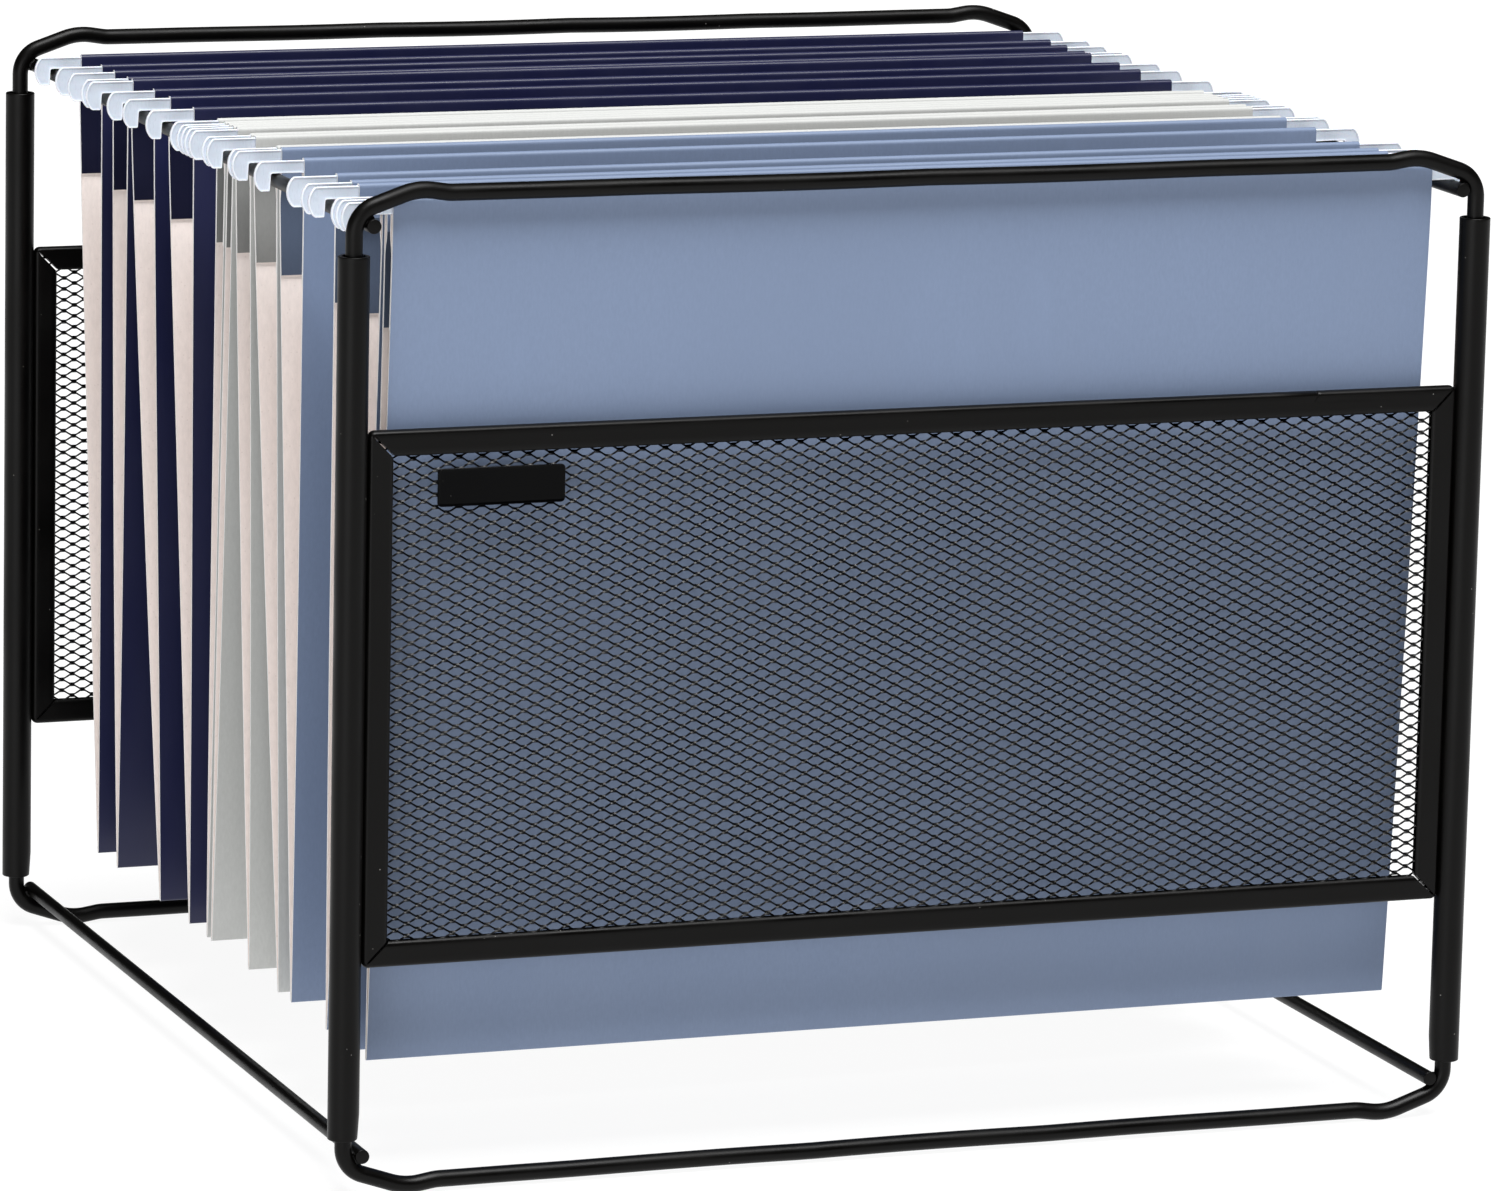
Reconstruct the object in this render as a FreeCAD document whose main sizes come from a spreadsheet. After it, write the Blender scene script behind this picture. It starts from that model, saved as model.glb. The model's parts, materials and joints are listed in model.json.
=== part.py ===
import FreeCAD, Part
import math
import os

import Sketcher
from FreeCAD import Placement, Rotation, Vector

# Desk rack for hanging files, letter size, with twelve hanging folders on its rails.
# Frame of the part: +X to the right, +Y to the back, +Z up, millimetres.
# Origin: on the surface the rack stands on, under the middle of its four uprights.

doc = FreeCAD.newDocument("hanging_file_rack")
sheet = doc.addObject("Spreadsheet::Sheet", "sizes")

RACK_SIZES = [
    ("spacing_x", 322.0),          # left to right upright, centre to centre
    ("spacing_y", 324.0),          # front to rear upright, centre to centre
    ("tube_length", 237.5),        # each upright tube
    ("tube_diameter", 8.5),
    ("tube_wall", 1.0),
    ("grip_length", 9.0),          # swaged neck in the tube that grips a wire leg
    ("grip_inset", 8.0),           # from the tube's end to that neck
    ("leg_clearance", 0.05),       # between a wire leg and the neck, on the radius
    ("wire_diameter", 4.6),        # bent end wires
    ("rod_diameter", 3.9),         # file rails and base rods
    ("weld_sink", 0.15),           # how far a rod is melted into the end wire
    ("leg_length", 48.0),          # crest of an end wire down to the end of its leg
    ("top_leg_show", 16.8),        # crest of a top wire above the upright
    ("bottom_leg_show", 13.8),     # crest of a bottom wire below the upright
    ("corner_radius", 8.0),        # bend where the leg turns inwards, centreline
    ("ramp_angle", 19.0),          # slope from that bend to the crest
    ("crest_radius", 17.0),
    ("crest_inset", 19.0),         # crest inboard of the leg
    ("dip_angle", 9.0),            # slope from the crest to the straight middle
    ("dip_radius", 16.0),
    ("dip_depth", 0.9),            # straight middle below the crest
]
PANEL_SIZES = [
    ("panel_height", 144.7),
    ("strip_face", 7.0),           # face width of the folded edge strip
    ("strip_depth", 3.4),          # front to back
    ("strip_wall", 0.7),
    ("strip_corner", 2.0),
    ("mitre_gap", 0.45),
    ("mesh_thickness", 0.8),
    ("mesh_clearance", 0.15),
    ("mesh_bite", 4.5),            # how far the mesh reaches into the folded strip
    ("badge_width", 35.4),
    ("badge_height", 10.2),
    ("badge_thickness", 0.8),
    ("badge_corner", 1.2),
    ("badge_in", 12.4),            # from the left inner edge of the strip
    ("badge_down", 3.9),           # from the top inner edge of the strip
]
FOLDER_SIZES = [
    ("card_width", 298.5),
    ("card_height", 235.0),
    ("card_thickness", 0.5),
    ("hem_depth", 35.0),           # coloured border turned over the hanger
    ("fold_gap", 0.3),             # between the two flaps at the bottom fold
    ("hanger_thickness", 1.2),
    ("hanger_clearance", 0.1),     # hanger in its sleeve
    ("bar_height", 3.4),           # strip that runs over the rail
    ("bar_depth", 8.0),            # strip inside the sleeve
    ("hook_drop", 8.2),            # top of the strip to the tip of the hook
    ("hook_width", 4.7),           # hook across its widest
    ("hook_tip", 2.6),             # flat tip of the hook
    ("hook_bulge_radius", 5.5),     # outer side of the hook
    ("hook_clearance", 0.2),       # hook over the rail
    ("hook_side_gap", 0.3),        # hook beside the rail
]

# Name, place of the folder along the rails, half the spread of its two hangers, and
# how far the bottom fold lies behind the middle of the hangers.
FOLDERS = [
    ("navy_1", 127.5, 11.1, -12.9),
    ("navy_2", 96.3, 7.0, -2.2),
    ("navy_3", 73.5, 10.9, -23.8),
    ("navy_4", 35.0, 11.6, -14.6),
    ("grey_1", -3.7, 3.2, 6.5),
    ("grey_2", -12.5, 1.9, 10.9),
    ("grey_3", -24.8, 6.2, -12.8),
    ("grey_4", -45.5, 10.0, -19.8),
    ("blue_1", -69.7, 10.2, -7.5),
    ("blue_2", -115.8, 6.4, 6.4),
    ("blue_3", -138.5, 10.0, 5.5),
    ("blue_4", -154.9, 2.4, 10.3),
]


def fill_sheet():
    """One row for each driving size: its name, its value and the alias."""
    rows = list(RACK_SIZES + PANEL_SIZES + FOLDER_SIZES)
    for name, place, spread, fold_shift in FOLDERS:
        rows.append((name + "_place", place))
        rows.append((name + "_spread", spread))
        rows.append((name + "_fold_shift", fold_shift))
    for number, (alias, value) in enumerate(rows, start=1):
        sheet.set("A%d" % number, alias)
        sheet.set("B%d" % number, str(value))
        sheet.setAlias("B%d" % number, alias)
    doc.recompute()


def value_of(expression):
    """Number that an expression gives with the present sizes."""
    return float(sheet.evalExpression(expression))


def sizes(text):
    """Expression with every <name> read from the sheet."""
    return text.replace("<", "sizes.").replace(">", "")


# Heights and places that follow from the driving sizes.
WIRE_R = sizes("(<wire_diameter> / 2)")
ROD_R = sizes("(<rod_diameter> / 2)")
TUBE_R = sizes("(<tube_diameter> / 2)")
HALF_X = sizes("(<spacing_x> / 2)")
HALF_Y = sizes("(<spacing_y> / 2)")
BEND_DROP = sizes(
    "(<crest_radius> * (1 - cos(<ramp_angle>))"
    " + (<crest_inset> - <crest_radius> * sin(<ramp_angle>)"
    " - <corner_radius> * (1 - sin(<ramp_angle>))) * tan(<ramp_angle>)"
    " + <corner_radius> * cos(<ramp_angle>))"
)
ROD_REACH = "(" + sizes("<corner_radius> + <weld_sink>") + " - " + WIRE_R + " - " + ROD_R + ")"
ROD_ANGLE = sizes("((90 - <ramp_angle>) / 2)")
ROD_X = "(" + HALF_X + sizes(" - <corner_radius> + ") + ROD_REACH + " * cos(" + ROD_ANGLE + "))"
ROD_DROP = "(" + BEND_DROP + " - " + ROD_REACH + " * sin(" + ROD_ANGLE + "))"
BOTTOM_CREST = WIRE_R
TUBE_FOOT = "(" + BOTTOM_CREST + sizes(" + <bottom_leg_show>)")
TOP_CREST = "(" + TUBE_FOOT + sizes(" + <tube_length> + <top_leg_show>)")
RAIL_Z = "(" + TOP_CREST + " - " + ROD_DROP + ")"
BASE_Z = "(" + BOTTOM_CREST + " + " + ROD_DROP + ")"
PANEL_Z = "(" + TUBE_FOOT + sizes(" + <tube_length> / 2)")
OPENING_HALF_X = "(" + HALF_X + " - " + TUBE_R + sizes(" - <strip_face>)")
OPENING_HALF_Z = sizes("(<panel_height> / 2 - <strip_face>)")


def place(thing, x="0", y="0", z="0", turn=None):
    """Put a sub-part at bound coordinates, turned about an axis if one is given."""
    if turn is not None:
        axis, angle = turn
        thing.Placement = Placement(Vector(0, 0, 0), Rotation(axis, angle))
    thing.setExpression("Placement.Base.x", x)
    thing.setExpression("Placement.Base.y", y)
    thing.setExpression("Placement.Base.z", z)
    return thing


def new_body(name):
    body = doc.addObject("PartDesign::Body", name)
    body.Label = name
    return body


def new_sketch(body, name, plane_role):
    """Sketch on one of the body's own origin planes."""
    sketch = body.newObject("Sketcher::SketchObject", name)
    plane = [item for item in body.Origin.OriginFeatures if item.Role == plane_role][0]
    sketch.AttachmentSupport = [(plane, "")]
    sketch.MapMode = "FlatFace"
    return sketch


def bind(sketch, constraint, expression):
    """Add a dimension and tie it to an expression."""
    index = sketch.addConstraint(constraint)
    sketch.setExpression("Constraints[%d]" % index, expression)


def add_outline(sketch, corners):
    """Closed outline of straight edges, each corner bound to two expressions."""
    spots = [Vector(value_of(x), value_of(y), 0) for x, y in corners]
    first = sketch.GeometryCount
    count = len(corners)
    for number in range(count):
        following = (number + 1) % count
        sketch.addGeometry(Part.LineSegment(spots[number], spots[following]), False)
    for number in range(count):
        following = (number + 1) % count
        sketch.addConstraint(Sketcher.Constraint("Coincident", first + number, 2, first + following, 1))
    for number, (x, y) in enumerate(corners):
        edge = first + number
        bind(sketch, Sketcher.Constraint("DistanceX", edge, 1, spots[number].x), x)
        bind(sketch, Sketcher.Constraint("DistanceY", edge, 1, spots[number].y), y)


def rectangle(half_width, half_height):
    """Corners of a rectangle about the sketch's origin."""
    return [
        ("-" + half_width, "-" + half_height),
        (half_width, "-" + half_height),
        (half_width, half_height),
        ("-" + half_width, half_height),
    ]


def symmetric(feature, length):
    """Make a pad or pocket reach the same way to both sides of its sketch."""
    feature.SideType = "Symmetric"
    feature.setExpression("Length", length)


def cylinder(name, radius, height):
    item = doc.addObject("Part::Cylinder", name)
    item.setExpression("Radius", radius)
    item.setExpression("Height", height)
    return item


# ---------------------------------------------------------------- welded wire frames


def crest_curve():
    """Centreline of the left half of an end wire, from the leg's end to the middle.

    Straight leg, corner bend, ramp, crest, short slope, dip and straight middle,
    each tangent to the next. The crest touches height zero.
    """
    half = value_of(HALF_X)
    corner, crest, dip = (value_of("sizes." + n) for n in ("corner_radius", "crest_radius", "dip_radius"))
    ramp = math.radians(value_of("sizes.ramp_angle"))
    slope = math.radians(value_of("sizes.dip_angle"))
    crest_centre = Vector(-half + value_of("sizes.crest_inset"), -crest, 0)
    ramp_top = crest_centre + crest * Vector(-math.sin(ramp), math.cos(ramp), 0)
    slope_top = crest_centre + crest * Vector(math.sin(slope), math.cos(slope), 0)
    middle = -value_of("sizes.dip_depth")
    slope_foot_y = middle + dip * (1 - math.cos(slope))
    run = (slope_top.y - slope_foot_y) / math.tan(slope)
    slope_foot = Vector(slope_top.x + run, slope_foot_y, 0)
    dip_centre = slope_foot + dip * Vector(math.sin(slope), math.cos(slope), 0)
    corner_centre = Vector(-half + corner, -value_of(BEND_DROP), 0)
    ramp_foot = corner_centre + corner * Vector(-math.sin(ramp), math.cos(ramp), 0)
    leg_top = corner_centre - Vector(corner, 0, 0)
    leg_end = Vector(-half, -value_of("sizes.leg_length"), 0)
    middle_start = Vector(dip_centre.x, middle, 0)
    corner_arc = (corner_centre, corner, leg_top, ramp_foot)
    crest_arc = (crest_centre, crest, ramp_top, slope_top)
    dip_arc = (dip_centre, dip, slope_foot, middle_start)
    return leg_end, corner_arc, crest_arc, dip_arc


def flip(point):
    return Vector(-point.x, point.y, 0)


def short_arc(centre, radius, start, end):
    """The shorter arc about a centre through two points, and which end comes first."""
    angles = [math.atan2(p.y - centre.y, p.x - centre.x) for p in (start, end)]
    turn = (angles[1] - angles[0]) % (2 * math.pi)
    circle = Part.Circle(centre, Vector(0, 0, 1), radius)
    if turn < math.pi:
        return Part.ArcOfCircle(circle, angles[0], angles[1]), (1, 2)
    return Part.ArcOfCircle(circle, angles[1], angles[0]), (2, 1)


def draw_end_wire_path(sketch):
    """Whole centreline of an end wire: the left half and its mirror image."""
    leg_end, corner_arc, crest_arc, dip_arc = crest_curve()
    left = [corner_arc, crest_arc, dip_arc]
    right = [(flip(c), r, flip(b), flip(a)) for c, r, a, b in reversed(left)]
    arcs = left + right
    ends = []
    cursor = leg_end
    for centre, radius, start, end in arcs:
        line = sketch.addGeometry(Part.LineSegment(cursor, start), False)
        ends.append((line, 1, 2))
        shape, (first_end, last_end) = short_arc(centre, radius, start, end)
        arc = sketch.addGeometry(shape, False)
        ends.append((arc, first_end, last_end))
        cursor = end
    line = sketch.addGeometry(Part.LineSegment(cursor, flip(leg_end)), False)
    ends.append((line, 1, 2))
    for (edge, _, tail), (following, head, _) in zip(ends, ends[1:]):
        sketch.addConstraint(Sketcher.Constraint("Tangent", edge, tail, following, head))
    lines = [item[0] for item in ends[0::2]]
    curves = [item[0] for item in ends[1::2]]
    left_leg, left_ramp, left_slope, middle, right_slope, right_ramp, right_leg = lines
    for leg in (left_leg, right_leg):
        sketch.addConstraint(Sketcher.Constraint("Vertical", leg))
    sketch.addConstraint(Sketcher.Constraint("Horizontal", middle))
    for curve, size in zip(curves, ("corner", "crest", "dip", "dip", "crest", "corner")):
        value = value_of("sizes." + size + "_radius")
        bind(sketch, Sketcher.Constraint("Radius", curve, value), "sizes." + size + "_radius")
    half = value_of(HALF_X)
    leg_down = value_of("-sizes.leg_length")
    bind(sketch, Sketcher.Constraint("DistanceX", left_leg, 1, -half), "-" + HALF_X)
    bind(sketch, Sketcher.Constraint("DistanceX", right_leg, 2, half), HALF_X)
    bind(sketch, Sketcher.Constraint("DistanceY", left_leg, 1, leg_down), "-sizes.leg_length")
    bind(sketch, Sketcher.Constraint("DistanceY", right_leg, 2, leg_down), "-sizes.leg_length")
    dip = value_of("-sizes.dip_depth")
    bind(sketch, Sketcher.Constraint("DistanceY", middle, 1, dip), "-sizes.dip_depth")
    crest_x = HALF_X + sizes(" - <crest_inset>")
    for curve, sign in ((curves[1], "-"), (curves[4], "")):
        across = sign + "(" + crest_x + ")"
        down = "-sizes.crest_radius"
        bind(sketch, Sketcher.Constraint("DistanceX", curve, 3, value_of(across)), across)
        bind(sketch, Sketcher.Constraint("DistanceY", curve, 3, value_of(down)), down)
    for curve, sign in ((curves[0], "-"), (curves[5], "")):
        down = "-" + BEND_DROP
        bind(sketch, Sketcher.Constraint("DistanceY", curve, 3, value_of(down)), down)
    slope_rise = sizes("(<dip_depth> - <dip_radius> * (1 - cos(<dip_angle>))")
    slope_rise += sizes(" - <crest_radius> * (1 - cos(<dip_angle>)))")
    dip_x = crest_x + sizes(" - (<crest_radius> + <dip_radius>) * sin(<dip_angle>)")
    dip_x += " - " + slope_rise + sizes(" / tan(<dip_angle>)")
    for curve, sign in ((curves[2], "-"), (curves[3], "")):
        across = sign + "(" + dip_x + ")"
        bind(sketch, Sketcher.Constraint("DistanceX", curve, 3, value_of(across)), across)


def make_end_wire(name, y, z, upside_down):
    """Round wire bent to a shallow bracket, swept along its centreline."""
    body = new_body(name)
    path = new_sketch(body, name + "_path", "XZ_Plane")
    draw_end_wire_path(path)
    profile = new_sketch(body, name + "_section", "XY_Plane")
    profile.setExpression("AttachmentOffset.Base.z", "-sizes.leg_length")
    centre = Vector(-value_of(HALF_X), 0, 0)
    radius = value_of(WIRE_R)
    circle = profile.addGeometry(Part.Circle(centre, Vector(0, 0, 1), radius), False)
    bind(profile, Sketcher.Constraint("DistanceX", circle, 3, centre.x), "-" + HALF_X)
    profile.addConstraint(Sketcher.Constraint("PointOnObject", circle, 3, -1))
    bind(profile, Sketcher.Constraint("Radius", circle, radius), WIRE_R)
    doc.recompute()
    pipe = body.newObject("PartDesign::AdditivePipe", name + "_sweep")
    pipe.Profile = profile
    edges = ["Edge%d" % (number + 1) for number in range(path.GeometryCount)]
    pipe.Spine = (path, edges)
    body.Tip = pipe
    turn = (Vector(1, 0, 0), 180) if upside_down else None
    return place(body, y=y, z=z, turn=turn)


def make_rod(name, x, z):
    """Straight depth rod, flush with the outer sides of the end wires."""
    length = "(" + sizes("<spacing_y> + <wire_diameter>") + ")"
    rod = cylinder(name, ROD_R, length)
    rod.Label = name
    return place(rod, x=x, y="-" + length + " / 2", z=z, turn=(Vector(1, 0, 0), -90))


# ---------------------------------------------------------------- uprights and panels


def make_upright(name, x, y):
    """Thin tube with a swaged neck near each end that grips a wire leg."""
    bore_r = "(" + TUBE_R + sizes(" - <tube_wall>)")
    neck_r = "(" + WIRE_R + sizes(" + <leg_clearance>)")
    length = "sizes.tube_length"
    outside = cylinder(name + "_outside", TUBE_R, length)
    bore = cylinder(name + "_bore", bore_r, length)
    tube = doc.addObject("Part::Cut", name + "_wall")
    tube.Base = outside
    tube.Tool = bore
    far_neck = sizes("<tube_length> - <grip_inset> - <grip_length>")
    pieces = [tube]
    for end, height in (("lower", "sizes.grip_inset"), ("upper", far_neck)):
        band = cylinder(name + "_" + end + "_band", bore_r, "sizes.grip_length")
        hole = cylinder(name + "_" + end + "_hole", neck_r, "sizes.grip_length")
        for item in (band, hole):
            place(item, z=height)
        neck = doc.addObject("Part::Cut", name + "_" + end + "_neck")
        neck.Base = band
        neck.Tool = hole
        pieces.append(neck)
    upright = doc.addObject("Part::MultiFuse", name)
    upright.Shapes = pieces
    upright.Refine = True
    upright.Label = name
    return place(upright, x=x, y=y, z=TUBE_FOOT)


def mitre_slits():
    """Four thin slanted openings from the inner corners towards the outer ones."""
    reach = sizes("(<strip_face> - <strip_wall>)")
    side = sizes("(<mitre_gap> / 2 * sqrt(2))")
    slits = []
    for sx in ("", "-"):
        for sz in ("", "-"):
            corners = [
                (OPENING_HALF_X, OPENING_HALF_Z + " - " + side),
                (OPENING_HALF_X + " + " + reach, OPENING_HALF_Z + " + " + reach + " - " + side),
                (OPENING_HALF_X + " + " + reach + " - " + side, OPENING_HALF_Z + " + " + reach),
                (OPENING_HALF_X + " - " + side, OPENING_HALF_Z),
            ]
            slits.append([(sx + "(" + x + ")", sz + "(" + z + ")") for x, z in corners])
    return slits


def make_panel_frame(name, y):
    """Folded steel strip round the mesh, open to the inside, mitred at its corners."""
    body = new_body(name)
    outline = new_sketch(body, name + "_outline", "XZ_Plane")
    outer_x = "(" + HALF_X + " - " + TUBE_R + ")"
    outer_z = sizes("(<panel_height> / 2)")
    add_outline(outline, rectangle(outer_x, outer_z))
    pad = body.newObject("PartDesign::Pad", name + "_strip")
    pad.Profile = outline
    symmetric(pad, "sizes.strip_depth")
    doc.recompute()
    depth_edges = []
    for number, edge in enumerate(pad.Shape.Edges, start=1):
        if abs(abs(edge.tangentAt(edge.FirstParameter).y) - 1) < 1e-6:
            depth_edges.append("Edge%d" % number)
    corners = body.newObject("PartDesign::Fillet", name + "_corners")
    corners.Base = (pad, depth_edges)
    corners.setExpression("Radius", "sizes.strip_corner")
    doc.recompute()
    slot_width = sizes("(<mesh_thickness> + 2 * <mesh_clearance>)")
    slot_reach = sizes("(<mesh_bite> + <mesh_clearance>)")
    slot_x = "(" + OPENING_HALF_X + " + " + slot_reach + ")"
    slot_z = "(" + OPENING_HALF_Z + " + " + slot_reach + ")"
    through = "(2 * sizes.strip_depth)"
    slits = mitre_slits()
    cuts = [
        ("_opening", [rectangle(OPENING_HALF_X, OPENING_HALF_Z)], through),
        ("_slot", [rectangle(slot_x, slot_z)], slot_width),
        ("_mitres", slits, through),
    ]
    for suffix, outlines, length in cuts:
        before = body.Tip.Shape.Volume
        sketch = new_sketch(body, name + suffix + "_sketch", "XZ_Plane")
        for corners_of_cut in outlines:
            add_outline(sketch, corners_of_cut)
        pocket = body.newObject("PartDesign::Pocket", name + suffix)
        pocket.Profile = sketch
        symmetric(pocket, length)
        body.Tip = pocket
        doc.recompute()
        if pocket.Shape.Volume >= before:
            raise RuntimeError(name + suffix + " cut nothing")
    return place(body, y=y, z=PANEL_Z)


def make_mesh(name, y):
    """Flat sheet that stands for the expanded metal, held in the folded strip."""
    mesh = doc.addObject("Part::Box", name)
    mesh.Label = name
    half_x = "(" + OPENING_HALF_X + sizes(" + <mesh_bite>)")
    half_z = "(" + OPENING_HALF_Z + sizes(" + <mesh_bite>)")
    mesh.setExpression("Length", "2 * " + half_x)
    mesh.setExpression("Width", "sizes.mesh_thickness")
    mesh.setExpression("Height", "2 * " + half_z)
    return place(mesh, x="-" + half_x, y=y + " - sizes.mesh_thickness / 2", z=PANEL_Z + " - " + half_z)


def make_badge(name):
    """Small blank plate on the front of the front mesh, near its upper left corner."""
    plate = doc.addObject("Part::Box", name + "_plate")
    plate.setExpression("Length", "sizes.badge_width")
    plate.setExpression("Width", "sizes.badge_thickness")
    plate.setExpression("Height", "sizes.badge_height")
    doc.recompute()
    badge = doc.addObject("Part::Fillet", name)
    badge.Label = name
    badge.Base = plate
    radius = value_of("sizes.badge_corner")
    rounded = []
    for number, edge in enumerate(plate.Shape.Edges, start=1):
        if abs(abs(edge.tangentAt(edge.FirstParameter).y) - 1) < 1e-6:
            rounded.append((number, radius, radius))
    badge.Edges = rounded
    x = "-" + OPENING_HALF_X + " + sizes.badge_in"
    y = "-" + HALF_Y + sizes(" - <mesh_thickness> / 2 - <badge_thickness>")
    z = PANEL_Z + " + " + OPENING_HALF_Z + sizes(" - <badge_down> - <badge_height>")
    return place(badge, x=x, y=y, z=z)


# ---------------------------------------------------------------- hanging folders

# Heights above the centre of the rails.
NOTCH_TOP = "(" + ROD_R + sizes(" + <hook_clearance>)")
BAR_TOP = "(" + NOTCH_TOP + sizes(" + <bar_height>)")
CARD_TOP = "(" + BAR_TOP + sizes(" + <hanger_clearance> + <card_thickness>)")


def card_outline(name):
    """Section of a folder card: two flaps, a fold, and a sleeve and hem on each flap."""
    thick = "sizes.card_thickness"
    spread = "sizes." + name + "_spread"
    shift = "sizes." + name + "_fold_shift"
    sleeve = sizes("(<hanger_thickness> / 2 + <hanger_clearance> + <card_thickness>)")
    outer_front = "(-" + spread + " - " + sleeve + ")"
    inner_front = "(-" + spread + " + " + sleeve + ")"
    inner_rear = "(" + spread + " - " + sleeve + ")"
    outer_rear = "(" + spread + " + " + sleeve + ")"
    sleeve_foot = "(" + CARD_TOP + sizes(" - <bar_depth> - 2 * <hanger_clearance> - 2 * <card_thickness>)")
    fold_z = "(" + CARD_TOP + " - sizes.card_height)"
    hem_z = "(" + CARD_TOP + " - sizes.hem_depth)"
    half_fold = sizes("(<card_thickness> + <fold_gap> / 2)")
    fold_front = "(" + shift + " - " + half_fold + ")"
    fold_rear = "(" + shift + " + " + half_fold + ")"
    share = "((" + sleeve_foot + " - " + hem_z + ") / (" + sleeve_foot + " - " + fold_z + "))"
    hem_front = "(" + outer_front + " + (" + fold_front + " - " + outer_front + ") * " + share + ")"
    hem_rear = "(" + outer_rear + " + (" + fold_rear + " - " + outer_rear + ") * " + share + ")"
    inside_fold_z = "(" + fold_z + " + " + thick + ")"
    return [
        (outer_front, CARD_TOP),
        (outer_front, sleeve_foot),
        (fold_front, fold_z),
        (fold_rear, fold_z),
        (outer_rear, sleeve_foot),
        (outer_rear, CARD_TOP),
        (inner_rear, CARD_TOP),
        (inner_rear, sleeve_foot),
        (outer_rear + " - 2 * " + thick, sleeve_foot),
        (hem_rear + " - 2 * " + thick, hem_z),
        (hem_rear + " - " + thick, hem_z),
        (fold_rear + " - " + thick, inside_fold_z),
        (fold_front + " + " + thick, inside_fold_z),
        (hem_front + " + " + thick, hem_z),
        (hem_front + " + 2 * " + thick, hem_z),
        (outer_front + " + 2 * " + thick, sleeve_foot),
        (inner_front, sleeve_foot),
        (inner_front, CARD_TOP),
    ]


def sleeve_hole(name, side):
    """Section of the sleeve's hollow that the hanger lies in."""
    middle = side + "sizes." + name + "_spread"
    half = sizes("(<hanger_thickness> / 2 + <hanger_clearance>)")
    top = "(" + CARD_TOP + " - sizes.card_thickness)"
    foot = "(" + top + sizes(" - <bar_depth> - 2 * <hanger_clearance>)")
    return [
        (middle + " - " + half, foot),
        (middle + " + " + half, foot),
        (middle + " + " + half, top),
        (middle + " - " + half, top),
    ]


def make_card(name):
    """Folder card, its section carried across the rack."""
    label = name + "_card"
    body = new_body(label)
    sketch = new_sketch(body, label + "_section", "YZ_Plane")
    add_outline(sketch, card_outline(name))
    add_outline(sketch, sleeve_hole(name, "-"))
    add_outline(sketch, sleeve_hole(name, ""))
    pad = body.newObject("PartDesign::Pad", label + "_sheet")
    pad.Profile = sketch
    symmetric(pad, "sizes.card_width")
    body.Tip = pad
    return place(body, y="sizes." + name + "_place", z=RAIL_Z)


def draw_hanger(sketch):
    """Outline of a hanger: strip, deeper middle, and a rounded hook at each end."""
    bulge = sizes("(<hook_bulge_radius> - sqrt(<hook_bulge_radius> ^ 2 - (<hook_drop> / 2) ^ 2))")
    card_x = sizes("(<card_width> / 2 - 0.5)")
    bar_foot = "(" + BAR_TOP + " - sizes.bar_depth)"
    tip_z = "(" + BAR_TOP + " - sizes.hook_drop)"
    hook_in = "(" + ROD_X + " + " + ROD_R + sizes(" + <hook_side_gap>)")
    side_x = "(" + hook_in + sizes(" + <hook_width> - ") + bulge + ")"
    tip_in = "(" + side_x + sizes(" - <hook_tip>)")
    half = [
        (card_x, bar_foot),
        (card_x, NOTCH_TOP),
        (hook_in, NOTCH_TOP),
        (tip_in, tip_z),
        (side_x, tip_z),
        (side_x, BAR_TOP),
    ]
    spots = [(x, z) for x, z in half]
    spots += [("-" + x, z) for x, z in reversed(half)]
    points = [Vector(value_of(x), value_of(z), 0) for x, z in spots]
    count = len(points)
    bulges = (4, 6)
    radius = value_of("sizes.hook_bulge_radius")
    for number in range(count):
        start = points[number]
        end = points[(number + 1) % count]
        if number not in bulges:
            sketch.addGeometry(Part.LineSegment(start, end), False)
            continue
        chord = end - start
        outward = Vector(chord.y, -chord.x, 0).normalize()
        drop = math.sqrt(radius ** 2 - (chord.Length / 2) ** 2)
        centre = start + chord * 0.5 - outward * drop
        arc, _ = short_arc(centre, radius, start, end)
        sketch.addGeometry(arc, False)
    for number in range(count):
        following = (number + 1) % count
        sketch.addConstraint(Sketcher.Constraint("Coincident", number, 2, following, 1))
    for number, (x, z) in enumerate(spots):
        bind(sketch, Sketcher.Constraint("DistanceX", number, 1, points[number].x), x)
        bind(sketch, Sketcher.Constraint("DistanceY", number, 1, points[number].y), z)
    for number in bulges:
        bind(sketch, Sketcher.Constraint("Radius", number, radius), "sizes.hook_bulge_radius")


def make_hanger(label, y):
    """Flat plastic strip with a hook at each end."""
    body = new_body(label)
    sketch = new_sketch(body, label + "_outline", "XZ_Plane")
    draw_hanger(sketch)
    pad = body.newObject("PartDesign::Pad", label + "_strip")
    pad.Profile = sketch
    symmetric(pad, "sizes.hanger_thickness")
    body.Tip = pad
    return place(body, y=y, z=RAIL_Z)


def make_folder(name):
    middle = "sizes." + name + "_place"
    spread = "sizes." + name + "_spread"
    return [
        make_card(name),
        make_hanger(name + "_front_hanger", middle + " - " + spread),
        make_hanger(name + "_rear_hanger", middle + " + " + spread),
    ]


# ---------------------------------------------------------------- the whole part


def make_rack():
    parts = []
    for end, y in (("front", "-" + HALF_Y), ("rear", HALF_Y)):
        parts.append(make_end_wire(end + "_top_wire", y, TOP_CREST, False))
        parts.append(make_end_wire(end + "_bottom_wire", y, BOTTOM_CREST, True))
        parts.append(make_panel_frame(end + "_panel_frame", y))
        parts.append(make_mesh(end + "_mesh", y))
        for side, x in (("left", "-" + HALF_X), ("right", HALF_X)):
            parts.append(make_upright(end + "_" + side + "_upright", x, y))
    for side, x in (("left", "-" + ROD_X), ("right", ROD_X)):
        parts.append(make_rod(side + "_file_rail", x, RAIL_Z))
        parts.append(make_rod(side + "_base_rod", x, BASE_Z))
    parts.append(make_badge("badge"))
    return parts


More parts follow.
